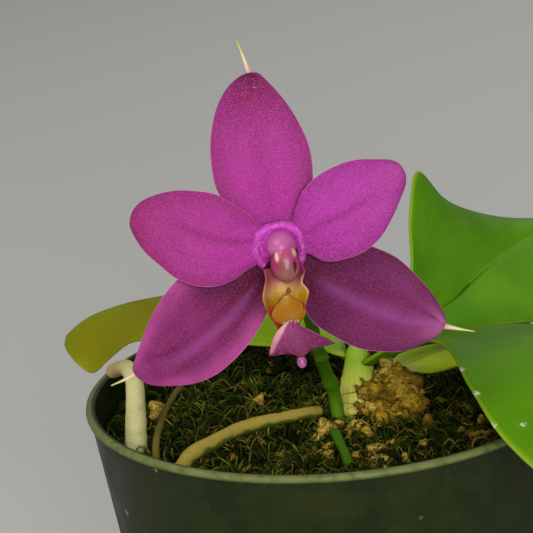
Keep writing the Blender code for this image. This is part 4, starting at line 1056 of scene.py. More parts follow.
for k, (foot, tip, width) in enumerate([((-2.3, -14.3, RIM + 10.6), (-3.4, -18.0, RIM + 16.5), 1.5),
                                         ((-7.0, -34.6, RIM + 44.8), (-7.4, -37.6, RIM + 48.2), 1.2)]):
    scale = sheet("spike_scale_%d" % k, scale_sheet(foot, tip, width), 0.5, green_paint.material, 30, 10)
print("stalk and its scales")

# %% [markdown]
# ## The flower's own directions
# The flower leans back and turns a little, so it has its own right, up and forward. Everything in it
# is worked out in these directions, from its hub, and then placed: that keeps each petal's numbers
# as simple as if the flower lay flat on paper.

# %% Directions of the flower
HUB = np.array([-8.6, -58.0, RIM + 49.3])
PITCH, ROLL = math.radians(17.6), math.radians(3.9)
FORWARD = np.array([0.0, -math.cos(PITCH), math.sin(PITCH)])
UPWARD = np.array([0.0, math.sin(PITCH), math.cos(PITCH)])
RIGHT = math.cos(ROLL) * np.array([1.0, 0, 0]) + math.sin(ROLL) * UPWARD
UPWARD = np.cross(FORWARD, RIGHT)


def in_flower(x, y, z):
    """hub + x times right + y times up + z times forward."""
    x, y, z = (np.asarray(v, float)[..., None] for v in (x, y, z))
    return HUB + x * RIGHT + y * UPWARD + z * FORWARD


pedicel_paint = Paint("pedicel_skin", roughness=0.5, soft=0.1)
ribs = pedicel_paint.grain(0.3, 2.0, pedicel_paint.pair(pedicel_paint.number("around"), pedicel_paint.number("along")))
tone = pedicel_paint.steps(pedicel_paint.number("along"), (0.1, (0.13, 0.20, 0.03)), (0.6, (0.36, 0.33, 0.16)),
                           (1.0, (0.50, 0.20, 0.38)))
pedicel_paint.colour(pedicel_paint.blend(pedicel_paint.span(ribs, 0.4, 0.7, 0.0, 0.4), tone, (0.42, 0.26, 0.24)))
hub_line = np.concatenate([np.array(PEDICEL, float) + [0, 0, RIM], [in_flower(0, 0, -2.0), in_flower(0, 0, 0.2)]])
pedicel = stalk("pedicel_stalk", hub_line, lambda t: 1.0 + 0.35 * t + 0.85 * ease(t, 0.80, 0.93),
                pedicel_paint.material, 110, 40, (1.0, 0, 0.1),
                lambda p, t, a: 0.08 * np.cos(6 * a + 5 * t) * (1 - ease(t, 0.7, 0.85)))
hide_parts("pedicel")
print("hub at", HUB.round(1))

# %% [markdown]
# ## Sepals and petals
# Three sepals stand behind and two petals in front. Each has its own outline, measured across its
# direction. A groove runs along the middle, the edges bend back a little, and a fine pale line
# follows the margin. The purple has a grain like velvet, because the skin is made of tiny domed
# cells that each catch the light; that grain is painted as small glints and small shaded hollows.

# %% Outlines
TEPALS = {
    "sepal_dorsal": {
        "angle": 90.0, "depth": -1.4, "bend": (0.0, 1.2, 1.6), "cup": -0.7, "horn": (1.6, 6.8),
        "edges": [(2.6, 3.9, -3.5), (7, 7.6, -5.6), (12.5, 10.9, -7.6), (18.5, 11.3, -7.8),
                  (24.5, 10.2, -6.1), (29.5, 8.0, -3.6), (32.6, 5.2, -1.4), (34.1, 2.6, -0.2)]},
    "sepal_left": {
        "angle": 212.6, "depth": -1.4, "bend": (0.0, 0.8, -1.2), "cup": -0.8, "horn": (-1.7, 5.0),
        "edges": [(2.6, 3.2, -3.2), (6.5, 4.9, -5.2), (11, 7.3, -7.6), (16, 9.0, -8.8),
                  (21, 9.7, -8.9), (26, 9.5, -7.7), (30.5, 7.8, -5.8), (34.4, 4.9, -3.7),
                  (36.6, 2.6, -2.4), (37.6, 0.3, -1.5)]},
    "sepal_right": {
        "angle": -32.6, "depth": -1.4, "bend": (0.0, 0.8, -1.2), "cup": -0.8, "horn": (1.6, 5.9),
        "edges": [(2.6, 3.2, -3.4), (6.5, 4.6, -7.3), (10.5, 6.4, -10.7), (16, 7.1, -11.8),
                  (20.4, 7.0, -12.0), (25, 5.5, -10.8), (29, 3.7, -8.9), (31.8, 1.9, -6.2),
                  (33.5, 0.6, -4.3), (34.3, -0.6, -2.6)]},
    "petal_left": {
        "angle": 159.4, "depth": 1.8, "bend": (0.0, 0.9, -0.6), "cup": -1.0, "horn": None,
        "edges": [(1.9, 2.4, -1.9), (3.2, 3.2, -2.4), (5.7, 5.3, -3.7), (8.4, 8.1, -5.1), (11.7, 10.0, -6.4),
                  (15.2, 10.5, -7.4), (18.9, 9.9, -7.2), (22.5, 8.1, -6.5), (26.0, 6.0, -5.0),
                  (28.6, 3.4, -3.0), (29.9, 1.5, -0.8)]},
    "petal_right": {
        "angle": 20.6, "depth": 1.8, "bend": (0.0, 0.9, -0.6), "cup": -1.0, "horn": None,
        "edges": [(1.9, 2.2, -2.2), (3.2, 3.0, -3.0), (5.4, 5.2, -6.0), (8.6, 7.7, -7.5), (12.4, 8.8, -8.2),
                  (16.4, 8.7, -7.6), (20.0, 7.9, -5.7), (23.6, 6.0, -3.1), (26.2, 4.3, -0.8),
                  (27.2, 2.8, 1.0)]},
}
TEPAL_THICKNESS = 0.8


# Folds, read from the photo as (place along, place across): grooves and bands are pressed in and ridges
# stand up. In the paint, grooves and bands are darker as painted shade, and ridges lighter violet as a
# painted highlight. Each entry is a line, its width and how deep or high it goes.
FOLDS = {
    "sepal_dorsal": {"band": [([(0.05, 0.0), (0.4, 0.02), (0.6, 0.0)], 0.16, 0.10)]},
    "sepal_left": {"groove": [([(0.08, 0.04), (0.14, 0.07), (0.38, 0.18), (0.54, 0.10), (0.80, -0.25)], 0.10, 0.40)],
                   "ridge": [([(0.24, 0.31), (0.29, 0.33), (0.48, 0.29), (0.70, 0.20)], 0.12, 0.18)],
                   "band": [([(0.14, 0.48), (0.34, 0.59), (0.49, 0.64), (0.69, 0.58)], 0.10, 0.20)]},
    "sepal_right": {"groove": [([(0.10, -0.05), (0.24, -0.01), (0.39, 0.12), (0.50, 0.24), (0.64, 0.30),
                                 (0.81, 0.34), (0.91, 0.35)], 0.095, 0.45)],
                    "ridge": [([(0.22, -0.11), (0.41, -0.14), (0.60, -0.16), (0.76, -0.05), (0.91, 0.11)], 0.13, 0.22)],
                    "band": [([(0.18, -0.61), (0.40, -0.55), (0.58, -0.50), (0.78, -0.60)], 0.12, 0.20)]},
    "petal_left": {"groove": [([(0.12, -0.24), (0.38, -0.07), (0.61, -0.14)], 0.10, 0.24)],
                   "band": [([(0.16, 0.30), (0.40, 0.42), (0.62, 0.40)], 0.10, 0.10)]},
    "petal_right": {"groove": [([(0.11, 0.16), (0.36, -0.01), (0.61, -0.07)], 0.10, 0.24)],
                    "band": [([(0.16, -0.34), (0.40, -0.44), (0.62, -0.36)], 0.10, 0.10)]},
}


def fold(s, t, line, width):
    """1 on a fold's line and 0 beside it: exp(-(distance across / width) squared), faded in and out at
    the two ends. The line between its points is a cubic, fitted to them."""
    along, across = np.array(line).T
    middle = np.polyval(np.polyfit(along, across, min(3, len(line) - 1)), t)
    shown = ease(t, along[0] - 0.10, along[0] + 0.06) * (1 - ease(t, along[-1] - 0.06, along[-1] + 0.12))
    return np.exp(-((s - middle) / width) ** 2) * shown


def folds_of(name, kind):
    """The function of (s, t) that is 1 on any of a blade's folds of one kind."""
    lines = FOLDS[name].get(kind, [])
    return lambda s, t: sum((fold(s, t, line, width) for line, width, _ in lines), 0 * s)


def tepal_sheet(name, spec):
    """Across: from the right edge to the left edge. Depth: a long arch, a bent tip, edges bent back by
    s squared, folds pressed in or raised; a petal's foot curves up onto the column."""
    a = math.radians(spec["angle"])
    _, arch, tip = spec["bend"]

    def at(s, t):
        out, left, right = through(spec["edges"], t).T
        round_end = np.sqrt(np.clip(1 - (np.clip(t - 0.97, 0, 1) / 0.0302) ** 2, 0, 1))
        middle, half = (left + right) / 2, (left - right) / 2 * round_end
        across = middle + half * s
        depth = spec["depth"] + arch * np.sin(np.pi * t) + tip * t**5 + spec["cup"] * s**2 * np.sqrt(t)
        for kind, way in (("groove", -1), ("band", -1), ("ridge", 1)):
            for line, width, high in FOLDS[name].get(kind, []):
                depth = depth + way * high * fold(s, t, line, width)
        depth = depth + 0.18 * np.sin(7 * t + 5 * s) * s * s * (1 - t) + 0.05 * np.sin(23 * t + 9 * s)
        if name.startswith("petal"):
            depth = depth + 1.0 * np.exp(-((out - 1.9) / 1.3) ** 2)
        if name == "petal_right":
            out = out - 0.55 * np.exp(-((s + 0.25) / 0.22) ** 2) * t**24
        return in_flower(out * math.cos(a) - across * math.sin(a), out * math.sin(a) + across * math.cos(a), depth)
    return at


# %% Velvet finishes
WINE, VIOLET = (0.085, 0.004, 0.016), (0.34, 0.075, 0.33)


def velvet(name, stops, edge, edge_share, base_stripes, grain_share=0.30, shade=None):
    """Purple that changes along the blade, with a fine grain of painted glints and small painted shade,
    lengthwise streaks, grooves and bands darkened as painted shade, ridges painted violet as a painted
    highlight, wine-dark stripes at the foot and a thin pink margin."""
    paint = Paint(name, roughness=0.6, sheen=0.04, soft=0.05, specular=0.07)
    paint.shader.inputs["Sheen Roughness"].default_value = 0.45
    paint.shader.inputs["Sheen Tint"].default_value = (1.0, 0.45, 0.85, 1.0)
    s, t = paint.number("across"), paint.number("along")
    off = paint.math("ABSOLUTE", s)
    tone = paint.steps(t, *stops)
    tone = paint.blend(paint.span(off, 0.45, 0.97, 0.0, edge_share), tone, edge)
    if shade:
        tone = paint.blend(paint.span(paint.height(), shade[1] * MM, shade[0] * MM, 0.0, 0.55), tone,
                           tuple(0.42 * c for c in stops[2][1]))
    patches = paint.span(paint.grain(5.0, 3.0), 0.35, 0.70, 0.0, 0.30)
    tone = paint.blend(patches, tone, tuple(0.66 * c for c in stops[1][1]))
    lines = paint.pair(paint.math("MULTIPLY", s, 22.0), paint.math("MULTIPLY", t, 2.4))
    streaks = paint.grain(1.0, 3.0, lines, 0.6)
    tone = paint.blend(paint.span(streaks, 0.48, 0.74, 0.0, 0.30), tone, tuple(0.50 * c for c in stops[1][1]))
    # Painted highlight: ridges are painted lighter violet. Painted shade: grooves, and bands at 0.4 of their weight,
    # are painted dark wine.
    tone = paint.blend(paint.math("MULTIPLY", paint.number("ridge"), 0.28), tone, VIOLET)
    dark = paint.math("ADD", paint.number("groove"), paint.math("MULTIPLY", paint.number("band"), 0.4))
    tone = paint.blend(paint.math("MINIMUM", paint.math("MULTIPLY", dark, 0.42), 0.6), tone, WINE)
    stripes = paint.grain(1.0, 2.0, paint.pair(paint.math("MULTIPLY", s, 34.0), paint.math("MULTIPLY", t, 3.0)), 0.5)
    stripes = paint.math("MULTIPLY", paint.span(stripes, 0.42, 0.60), paint.span(t, 0.36, 0.08, 0.0, base_stripes))
    tone = paint.blend(stripes, tone, WINE)
    # Painted glints: the fine grain of domed cells is painted as light specks.
    specks = paint.span(paint.grain(0.24, 2.0, rough=0.6), 0.42, 0.68, 0.0, grain_share)
    tone = paint.blend(specks, tone, tuple(min(0.7, 1.7 * c + 0.05) for c in stops[2][1]))
    # Painted shade: small dark hollows between the cells.
    hollows = paint.span(paint.grain(0.34, 2.0, rough=0.7), 0.48, 0.28, 0.0, 0.30)
    tone = paint.blend(hollows, tone, tuple(0.55 * c for c in stops[1][1]))
    tone = paint.blend(paint.math("MULTIPLY", paint.span(off, 0.975, 0.998), 0.6), tone, (0.66, 0.20, 0.42))
    paint.colour(tone)
    paint.relief(paint.math("ADD", paint.grain(0.30, 2.0), paint.math("MULTIPLY", streaks, 0.5)), 0.07)
    return paint


VELVET = {
    "sepal_dorsal": velvet("velvet_dorsal", [(0.03, (0.36, 0.024, 0.26)), (0.25, (0.33, 0.022, 0.23)),
                                             (0.55, (0.30, 0.028, 0.20)), (0.78, (0.17, 0.009, 0.075)),
                                             (0.97, (0.045, 0.000, 0.003))], (0.185, 0.017, 0.105), 0.75, 0.0, 0.40),
    "sepal_left": velvet("velvet_sepal_left", [(0.05, (0.030, 0.001, 0.003)), (0.28, (0.080, 0.004, 0.032)),
                                               (0.50, (0.165, 0.013, 0.095)), (0.85, (0.18, 0.018, 0.11)),
                                               (0.98, (0.26, 0.038, 0.16))], (0.42, 0.060, 0.27), 0.75, 0.85, 0.34),
    "sepal_right": velvet("velvet_sepal_right", [(0.05, (0.050, 0.002, 0.014)), (0.26, (0.085, 0.005, 0.040)),
                                                 (0.50, (0.125, 0.011, 0.080)), (0.80, (0.21, 0.032, 0.14)),
                                                 (0.98, (0.40, 0.120, 0.28))], (0.090, 0.008, 0.040), 0.6, 0.80, 0.36),
    "petal_left": velvet("velvet_petal_left", [(0.06, (0.36, 0.020, 0.30)), (0.28, (0.32, 0.024, 0.23)),
                                               (0.55, (0.30, 0.028, 0.195)), (0.82, (0.24, 0.020, 0.12)),
                                               (0.98, (0.22, 0.010, 0.07))], (0.185, 0.013, 0.090), 0.65, 0.30, 0.36, (131, 141)),
    "petal_right": velvet("velvet_petal_right", [(0.06, (0.28, 0.016, 0.22)), (0.28, (0.31, 0.023, 0.25)),
                                                 (0.55, (0.34, 0.034, 0.27)), (0.82, (0.32, 0.040, 0.24)),
                                                 (0.98, (0.32, 0.048, 0.23))], (0.225, 0.020, 0.150), 0.65, 0.30, 0.36, (135, 144)),
}
for name, spec in TEPALS.items():
    marks = {kind: folds_of(name, kind) for kind in ("groove", "ridge", "band")}
    blade = sheet(name + "_blade", tepal_sheet(name, spec), TEPAL_THICKNESS, VELVET[name].material, 150, 48, 0.15, marks)
    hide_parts(name)
    print(name, "faces", len(blade.data.polygons))

# %% [markdown]
# The feet of the petals and the foot of the column are grown together into a low flared collar. It is
# a sheet bent round the column: `across` runs over the top from one side to the other, and `along`
# from the column outward, over a raised rim and down onto the petals. The rim is painted paler as a
# painted highlight, most of all over the top.

# %% Collar at the petals' feet
COLLAR_MIDDLE, COLLAR_FROM, COLLAR_TO = (-0.75, 0.15), math.radians(-48), math.radians(222)


def collar_sheet(s, t):
    """Polar: angle from COLLAR_FROM to COLLAR_TO, radius from 2.3 to 5.1 mm with a lobe at each petal;
    depth dips beside the column, rises at the rim (t = 0.72) and falls to the petals."""
    angle = COLLAR_FROM + (COLLAR_TO - COLLAR_FROM) * (s + 1) / 2
    lobe = 0.2 * np.exp(-((angle - math.radians(20)) / 0.35) ** 2) + 0.6 * np.exp(-((angle - math.radians(175)) / 0.5) ** 2)
    square = (np.abs(np.cos(angle)) ** 2.7 + np.abs(np.sin(angle)) ** 2.7) ** (-1 / 2.7)
    radius = (2.3 + (2.65 + lobe) * t) * (1 + (square - 1) * t)
    depth = 2.7 - 0.40 * np.sin(np.pi * np.clip(t / 0.6, 0, 1)) + 0.12 * np.exp(-((t - 0.74) / 0.18) ** 2) - 0.7 * ease(t, 0.72, 1.0)
    depth = depth - 0.5 * np.abs(s) ** 6 + 0.06 * np.sin(31 * angle) * np.exp(-((t - 0.72) / 0.25) ** 2)
    return in_flower(COLLAR_MIDDLE[0] + radius * np.cos(angle), COLLAR_MIDDLE[1] + radius * np.sin(angle), depth)


collar_paint = Paint("collar_magenta", roughness=0.5, soft=0.08, specular=0.12)
# Painted highlight: the raised rim, near along 0.62 to 0.80, is painted paler magenta, most of all over the top of the
# arc, where `top` is 1.
t, top = collar_paint.number("along"), collar_paint.span(collar_paint.math("ABSOLUTE", collar_paint.number("across")), 0.62, 0.25)
bright = collar_paint.steps(t, (0.0, (0.36, 0.04, 0.26)), (0.30, (0.40, 0.024, 0.33)), (0.62, (0.50, 0.045, 0.46)),
                            (0.78, (0.48, 0.060, 0.44)), (0.90, (0.39, 0.034, 0.33)), (1.0, (0.30, 0.020, 0.23)))
plain = collar_paint.steps(t, (0.0, (0.34, 0.03, 0.24)), (0.35, (0.36, 0.020, 0.30)), (0.70, (0.34, 0.024, 0.26)),
                           (0.80, (0.40, 0.050, 0.33)), (0.90, (0.31, 0.022, 0.23)), (1.0, (0.29, 0.018, 0.21)))
tone = collar_paint.blend(top, plain, bright)
tone = collar_paint.blend(collar_paint.span(collar_paint.grain(0.8, 3.0), 0.45, 0.70, 0.0, 0.45), tone, (0.60, 0.20, 0.56))
tone = collar_paint.blend(collar_paint.span(collar_paint.grain(0.5, 2.0), 0.45, 0.30, 0.0, 0.35), tone, (0.28, 0.014, 0.20))
collar_paint.colour(tone)
collar_paint.relief(collar_paint.grain(0.5, 2.0), 0.05)
collar = sheet("petal_feet", collar_sheet, 0.45, collar_paint.material, 40, 60)
print("collar faces", len(collar.data.polygons))

# %% [markdown]
# Behind each sepal's tip stands a little pale keel that ends in a point. It is a thin stalk that
# grows out of the back of the blade.

# %% Pointed keels
keel_paint = Paint("keel_pale", roughness=0.5, soft=0.1)
keel_paint.colour(keel_paint.steps(keel_paint.number("along"), (0.22, (0.46, 0.10, 0.26)), (0.40, (0.62, 0.40, 0.34)),
                                   (0.62, (0.62, 0.55, 0.26)), (1.0, (0.42, 0.42, 0.06))))
for name, spec in TEPALS.items():
    if spec["horn"] is None:
        continue
    lean, length = spec["horn"]
    a = math.radians(spec["angle"])
    out, left, right = spec["edges"][-1]
    across = (left + right) / 2
    depth = spec["depth"] + spec["bend"][2]
    steps = [(out - 3.2, across - 0.2 * lean, depth - 1.1), (out - 1.2, across, depth - 1.0),
             (out + 0.3 * length, across + 0.35 * lean, depth - 1.1), (out + length, across + lean, depth - 0.6)]
    line = np.array([in_flower(o * math.cos(a) - c * math.sin(a), o * math.sin(a) + c * math.cos(a), d)
                     for o, c, d in steps])
    keel = stalk(name + "_keel", line, lambda t: 0.13 + 0.95 * (1 - t) ** 1.7, keel_paint.material, 40, 16, (0.1, 1.0, 0.1))
print("three keels")

# %% [markdown]
# ## Column and cap
# In the middle stands the column: the fused stamen and style of an orchid. Its domed end carries the
# cap over the pollen, with two pale windows and a dull tongue below them. The dome is a stalk, and
# the cap a ball that is dented at its two windows.

# %% Column
COLUMN = [(-0.1, 1.0, 0.55), (-0.4, 0.8, 2.6), (-0.6, 0.2, 4.4), (-0.5, -1.2, 6.6)]


def column_radius(t):
    """2.35 mm growing to 2.75, then from the middle on a dome: times sqrt(1 - u squared)."""
    return (2.35 + 0.5 * np.sin(np.pi * t)) * np.sqrt(1 - np.clip((t - 0.45) / 0.57, 0, 1) ** 2.2)


waxy = Paint("column_wax", roughness=0.40, coat=0.10, soft=0.12, specular=0.3)
grain = waxy.grain(0.35, 2.0)
tone = waxy.steps(waxy.number("along"), (0.0, (0.36, 0.024, 0.26)), (0.40, (0.42, 0.050, 0.29)), (0.65, (0.46, 0.095, 0.30)),
                  (1.0, (0.42, 0.080, 0.24)))
# Painted shade: the underside of the dome is painted darker.
tone = waxy.blend(waxy.span(waxy.number("up"), -0.2, -0.8), tone, (0.30, 0.026, 0.16))
waxy.colour(waxy.blend(waxy.span(grain, 0.50, 0.75, 0.0, 0.35), tone, (0.60, 0.22, 0.44)))
waxy.relief(grain, 0.04)
column = stalk("column_dome", np.array([in_flower(*p) for p in COLUMN]), column_radius, waxy.material, 80, 56,
               tuple(UPWARD))
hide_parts("column")

# %% Cap with its two windows
CAP_AT, CAP_SIZE = np.array([-0.25, -2.95, 5.6]), np.array([2.85, 3.75, 2.0])
WINDOWS = np.array([(-1.45, 1.45), (2.0, 2.0)])


def near_window(way):
    """1 inside a window and 0 outside, from the distance to its middle in the cap's own plane."""
    x, y = way[:, 0] * CAP_SIZE[0], way[:, 1] * CAP_SIZE[1]
    found = 0 * x
    for wx, wy in WINDOWS:
        found = np.maximum(found, np.exp(-(((x - wx) / 0.40) ** 2 + ((y - wy) / 0.95) ** 2) ** 2))
    return found * (way[:, 2] > 0)


def slit(way):
    """1 in the narrow dark slit at the tongue's right side."""
    x, y = way[:, 0] * CAP_SIZE[0], way[:, 1] * CAP_SIZE[1]
    return np.exp(-(((x - 1.85 - 0.05 * y) / 0.34) ** 2 + ((y + 0.85) / 1.15) ** 2) ** 2) * (way[:, 2] > 0)


def flank(way):
    """1 on the two flanks that frame the tongue, from the eyes down to its lower third."""
    x, y = way[:, 0] * CAP_SIZE[0], way[:, 1] * CAP_SIZE[1]
    beside = ease(np.abs(x), 1.05 + 0.10 * y, 1.75 + 0.10 * y)
    return beside * ease(y, -2.6, -0.8) * (way[:, 2] > -0.4)


def cap_skin(way):
    """An egg, narrower at its lower end, dented by the windows and the slit."""
    narrow = 1 - 0.14 * np.clip(-way[:, 1], 0, 1) ** 2 - 0.10 * np.clip(way[:, 1], 0, 1)
    dent = 0.20 * near_window(way) + 0.45 * slit(way)
    ridge = 0.10 * np.exp(-(way[:, 0] / 0.22) ** 2) * np.clip(-way[:, 1], 0, 1)
    x = CAP_AT[0] + CAP_SIZE[0] * way[:, 0] * narrow
    y = CAP_AT[1] + CAP_SIZE[1] * way[:, 1]
    z = CAP_AT[2] + CAP_SIZE[2] * way[:, 2] * (1 + ridge) - dent
    return in_flower(x, y, z)


cap_paint = Paint("cap_wax", roughness=0.36, coat=0.12, soft=0.10, specular=0.3)
rise = cap_paint.number("rise")
tone = cap_paint.steps(rise, (0.02, (0.20, 0.070, 0.055)), (0.30, (0.21, 0.072, 0.060)), (0.46, (0.20, 0.040, 0.060)),
                       (0.62, (0.32, 0.036, 0.12)), (0.80, (0.36, 0.048, 0.18)), (0.96, (0.44, 0.090, 0.27)))
tone = cap_paint.blend(cap_paint.span(cap_paint.grain(0.7, 3.0), 0.45, 0.70, 0.0, 0.30), tone, (0.34, 0.13, 0.13))
tone = cap_paint.blend(cap_paint.math("MULTIPLY", cap_paint.number("flank"), 0.8), tone, (0.30, 0.018, 0.105))
# Painted shade: the slit is painted nearly black.
tone = cap_paint.blend(cap_paint.number("slit"), tone, (0.040, 0.004, 0.008))
cap_paint.colour(cap_paint.blend(cap_paint.number("window"), tone, (0.58, 0.42, 0.26)))
cap = ball("cap_egg", cap_skin, cap_paint.material, 90, 120,
           {"rise": lambda w: 0.5 + 0.5 * w[:, 1], "window": near_window, "slit": slit,
            "flank": flank})
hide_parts("anther_cap")
print("column and cap")

# %% [markdown]
# ## The lip
# The third petal is the lip, a landing place for insects. Two side lobes stand up as a trough,
# purple at the top, then cream, then yellow, with orange-red front edges. A yellow shield closes the
# trough low down, with a small orange bump above it. Below hangs the arrow-shaped midlobe with a
# knob on its tip. Each is a sheet with its own width and depth.

# %% Side lobes
LOBE_TURN = 1.2


def cup_place(s, t):
    """A trough: x = middle + half times sin(LOBE_TURN s), and the depth rises as 1 - cos(LOBE_TURN s)."""
    half, middle, front, back = through([(3.7, 0.25, 4.6, 2.4), (3.7, 0.35, 5.5, 2.2), (3.6, 0.15, 5.6, 2.2),
                                         (3.6, -0.25, 5.9, 2.4), (4.3, -0.1, 6.2, 2.8), (3.9, -0.3, 6.2, 3.6),
                                         (1.8, -0.6, 5.9, 4.4)], t).T
    middle = middle - 1.05
    y = -3.5 - 11.8 * t
    turn = LOBE_TURN * s
    deep = back + (front - back) * (1 - np.cos(turn)) / (1 - math.cos(LOBE_TURN)) + 0.2 * np.exp(-(s / 0.12) ** 2)
    return middle + half * np.sin(turn) / math.sin(LOBE_TURN), y, deep


def shield_line(s, t):
    """1 on the lobes just outside the shield's two upper edges, from the shield's width at that height; a painted
    shadow is laid there.
    """
    x, y, _ = cup_place(s, t)
    half = np.interp(-y, [8.9, 9.2, 10.3, 11.4, 12.5, 13.6], [0.0, 0.3, 1.7, 2.9, 3.6, 3.2])
    return np.exp(-((np.abs(x + 1.05) - half - 0.22) / 0.26) ** 2) * ease(-y, 8.2, 9.2) * (1 - ease(-y, 12.3, 13.2))


lobe_paint = Paint("lobe_wax", roughness=0.48, soft=0.05, specular=0.10)
s, t = lobe_paint.number("across"), lobe_paint.number("along")
wander = lobe_paint.math("ADD", t, lobe_paint.span(lobe_paint.grain(2.0), 0.2, 0.8, -0.05, 0.05))
tone = lobe_paint.steps(wander, (0.05, (0.30, 0.024, 0.12)), (0.18, (0.32, 0.040, 0.10)), (0.27, (0.46, 0.20, 0.14)),
                        (0.38, (0.50, 0.31, 0.085)), (0.50, (0.34, 0.175, 0.004)), (0.60, (0.32, 0.145, 0.002)),
                        (0.85, (0.26, 0.085, 0.002)))
tone = lobe_paint.blend(lobe_paint.span(s, -0.30, -0.80, 0.0, 0.45), tone, (0.27, 0.080, 0.030))
side = lobe_paint.math("MULTIPLY", lobe_paint.span(lobe_paint.math("ABSOLUTE", s), 0.36, 0.72), lobe_paint.span(t, 0.52, 0.74))
tone = lobe_paint.blend(side, tone, (0.24, 0.030, 0.010))
# Painted shadow: a dark orange-brown line on the lobes along the shield's upper edges.
tone = lobe_paint.blend(lobe_paint.math("MULTIPLY", lobe_paint.number("line"), 0.9), tone, (0.17, 0.028, 0.002))
dots = lobe_paint.math("MULTIPLY", lobe_paint.span(lobe_paint.cells(0.6), 0.28, 0.12), lobe_paint.span(t, 0.36, 0.16))
lobe_paint.colour(lobe_paint.blend(lobe_paint.math("MULTIPLY", dots, 0.35), tone, (0.20, 0.012, 0.06)))
lobe_paint.relief(lobe_paint.grain(0.5, 2.0), 0.05)
lobes = sheet("lip_side_lobes", lambda s, t: in_flower(*cup_place(s, t)), 0.7, lobe_paint.material, 100, 50,
              values={"line": shield_line})
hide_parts("lip")


# %% Shield and bump
def shield_sheet(s, t):
    """Spade shape: half width, height and depth run through five measured rows from the point to the
    foot; the middle bulges forward as 0.65 - 0.55 s squared."""
    half, height, deep = through([(0.12, -9.2, 4.6), (1.5, -10.4, 5.0), (2.7, -11.5, 5.3), (3.25, -12.5, 5.5),
                                  (2.85, -13.6, 5.5), (1.5, -14.6, 5.3)], t).T
    return in_flower(-1.05 + half * s, height + 0.3 * s**2, deep + 0.65 - 0.55 * s**2)


shield_paint = Paint("shield_wax", roughness=0.45, soft=0.03, specular=0.12)
s, t = shield_paint.number("across"), shield_paint.number("along")
# Painted highlight: pale cream at the point and along the edges, strongest near the top, where `edge` is 1.
tone = shield_paint.steps(t, (0.0, (0.42, 0.26, 0.090)), (0.16, (0.33, 0.160, 0.015)), (0.45, (0.28, 0.105, 0.001)),
                          (1.0, (0.25, 0.085, 0.001)))
edge = shield_paint.math("MULTIPLY", shield_paint.span(shield_paint.math("ABSOLUTE", s), 0.80, 0.97), shield_paint.span(t, 0.70, 0.30, 0.25, 0.9))
tone = shield_paint.blend(edge, tone, (0.38, 0.24, 0.085))
shield_paint.colour(shield_paint.blend(shield_paint.span(shield_paint.grain(0.5, 3.0), 0.45, 0.7, 0.0, 0.35), tone, (0.20, 0.100, 0.002)))
shield_paint.relief(shield_paint.grain(0.6, 2.0), 0.05)
shield = sheet("lip_shield", shield_sheet, 0.9, shield_paint.material, 60, 26)
bump_paint = Paint("bump_orange", roughness=0.45, specular=0.3)
bump_paint.colour(bump_paint.blend(bump_paint.grain(0.5, 2.0), (0.30, 0.10, 0.035), (0.18, 0.040, 0.012)))
bump = ball("lip_bump", lambda w: in_flower(0.1 - 0.55 + 0.46 * w[:, 0] * (1 - 0.45 * w[:, 1]),
                                            -8.15 + 0.62 * w[:, 1], 3.0 + 0.8 * w[:, 2]), bump_paint.material, 24, 32)


# %% Midlobe, knob and fringe
def midlobe_sheet(s, t):
    """Arrow head seen from one side: the left edge, the fold and the right edge run through five
    measured rows; each side falls back from the fold as 1.6 |s| to the power 1.25."""
    left, ridge, right, y = through([(-1.5, -1.0, -0.6, -13.8), (-3.3, -1.0, 0.5, -15.0), (-4.4, -0.8, 2.1, -16.2),
                                     (-5.4, -0.5, 4.5, -18.0), (-6.1, -0.1, 6.8, -19.9)], t).T
    x = ridge + np.where(s < 0, (ridge - left) * s, (right - ridge) * s)
    y = y + 0.45 * np.clip(s, 0, 1) * t - 1.2 * np.exp(-(s / 0.22) ** 2) * t**3
    depth = 6.6 + 1.3 * t - 1.6 * np.abs(s) ** 1.25 * t + 0.25 * np.exp(-(s / 0.10) ** 2) * (1 - t)
    return in_flower(x, y, depth)


def pale_wing(s, t):
    """1 on the pale strip along the left edge, wide at the top and running out at the tip."""
    return ease(-s, 0.26 + 0.58 * t, 0.42 + 0.58 * t) * (1 - ease(t, 0.86, 1.0))


mid_paint = Paint("midlobe_wax", roughness=0.5, soft=0.05, specular=0.12)
s, t = mid_paint.number("across"), mid_paint.number("along")
tone = mid_paint.steps(t, (0.10, (0.24, 0.045, 0.13)), (0.45, (0.20, 0.030, 0.105)), (0.80, (0.15, 0.018, 0.075)),
                       (1.0, (0.10, 0.008, 0.035)))
tone = mid_paint.blend(mid_paint.span(s, 0.15, 0.75, 0.0, 0.6), tone, (0.12, 0.014, 0.072))
tone = mid_paint.blend(mid_paint.span(mid_paint.grain(0.6, 3.0), 0.50, 0.75, 0.0, 0.35), tone, (0.34, 0.09, 0.24))
wing = mid_paint.blend(mid_paint.span(t, 0.30, 0.75), (0.56, 0.26, 0.30), (0.42, 0.15, 0.22))
tone = mid_paint.blend(mid_paint.number("wing"), tone, wing)
white = mid_paint.math("MULTIPLY", mid_paint.span(s, 0.88, 0.98), mid_paint.span(t, 0.80, 0.50))
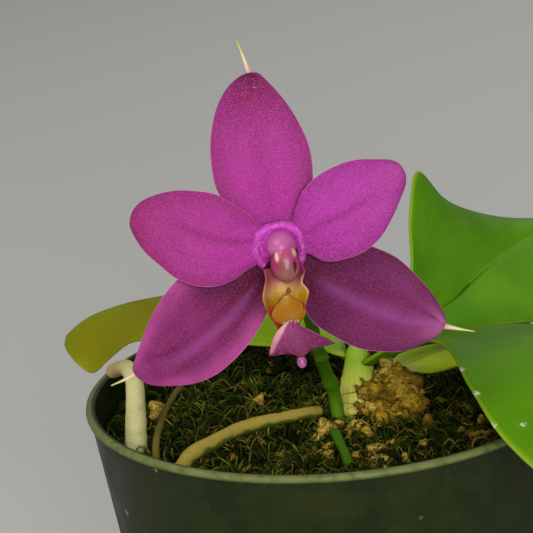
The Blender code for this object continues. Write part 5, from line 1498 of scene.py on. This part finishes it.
tone = mid_paint.blend(white, tone, (0.38, 0.17, 0.24))
mid_paint.colour(mid_paint.blend(mid_paint.span(t, 0.10, 0.0), tone, (0.46, 0.20, 0.16)))
mid_paint.relief(mid_paint.grain(0.6, 3.0), 0.06)
midlobe = sheet("lip_midlobe", midlobe_sheet, 0.8, mid_paint.material, 70, 34, values={"wing": pale_wing})
knob_paint = Paint("knob_wax", roughness=0.36, coat=0.15, soft=0.1, specular=0.3)
knob_paint.colour(knob_paint.blend(knob_paint.span(knob_paint.grain(0.8), 0.3, 0.7), (0.27, 0.05, 0.18), (0.36, 0.10, 0.26)))
knob = ball("lip_knob", lambda w: in_flower(-0.1 + 0.92 * w[:, 0], -21.8 + 1.2 * w[:, 1], 7.6 + 0.92 * w[:, 2]),
            knob_paint.material, 28, 36)
claw = stalk("lip_claw", np.array([in_flower(*p) for p in ((-1.0, -13.4, 4.6), (-0.9, -15.0, 6.0), (-0.7, -16.6, 6.9))]),
             lambda t: 1.2 - 0.3 * t, mid_paint.material, 30, 24, tuple(RIGHT))
fringe_paint = Paint("fringe_cream", roughness=0.5, soft=0.2)
fringe_paint.colour(fringe_paint.blend(fringe_paint.number("along"), (0.55, 0.36, 0.20), (0.62, 0.46, 0.36)))
rng = np.random.default_rng(51)
u = np.linspace(0, 1, 5)
root = np.sort(rng.uniform(-1.5, 1.5, 30))
start = np.stack([-1.0 + root, -14.05 + 0.12 * root**2, 6.5 + rng.uniform(-0.3, 0.3, 30)], 1)
grow = np.stack([0.12 * root, rng.uniform(-0.75, -0.35, 30), rng.uniform(0.25, 0.6, 30)], 1)
hairs = start[:, None] + grow[:, None] * u[None, :, None]
fringe = strands("lip_fringe", in_flower(hairs[..., 0], hairs[..., 1], hairs[..., 2]), np.full(30, 0.10),
                 fringe_paint.material, np.zeros(30))
print("lip in", 7, "pieces")

# %% [markdown]
# ## The end
# The finer pieces must stay inside the box of the solids; the last cell only brings the scene up to date.

# %% Finish
bpy.context.view_layer.update()
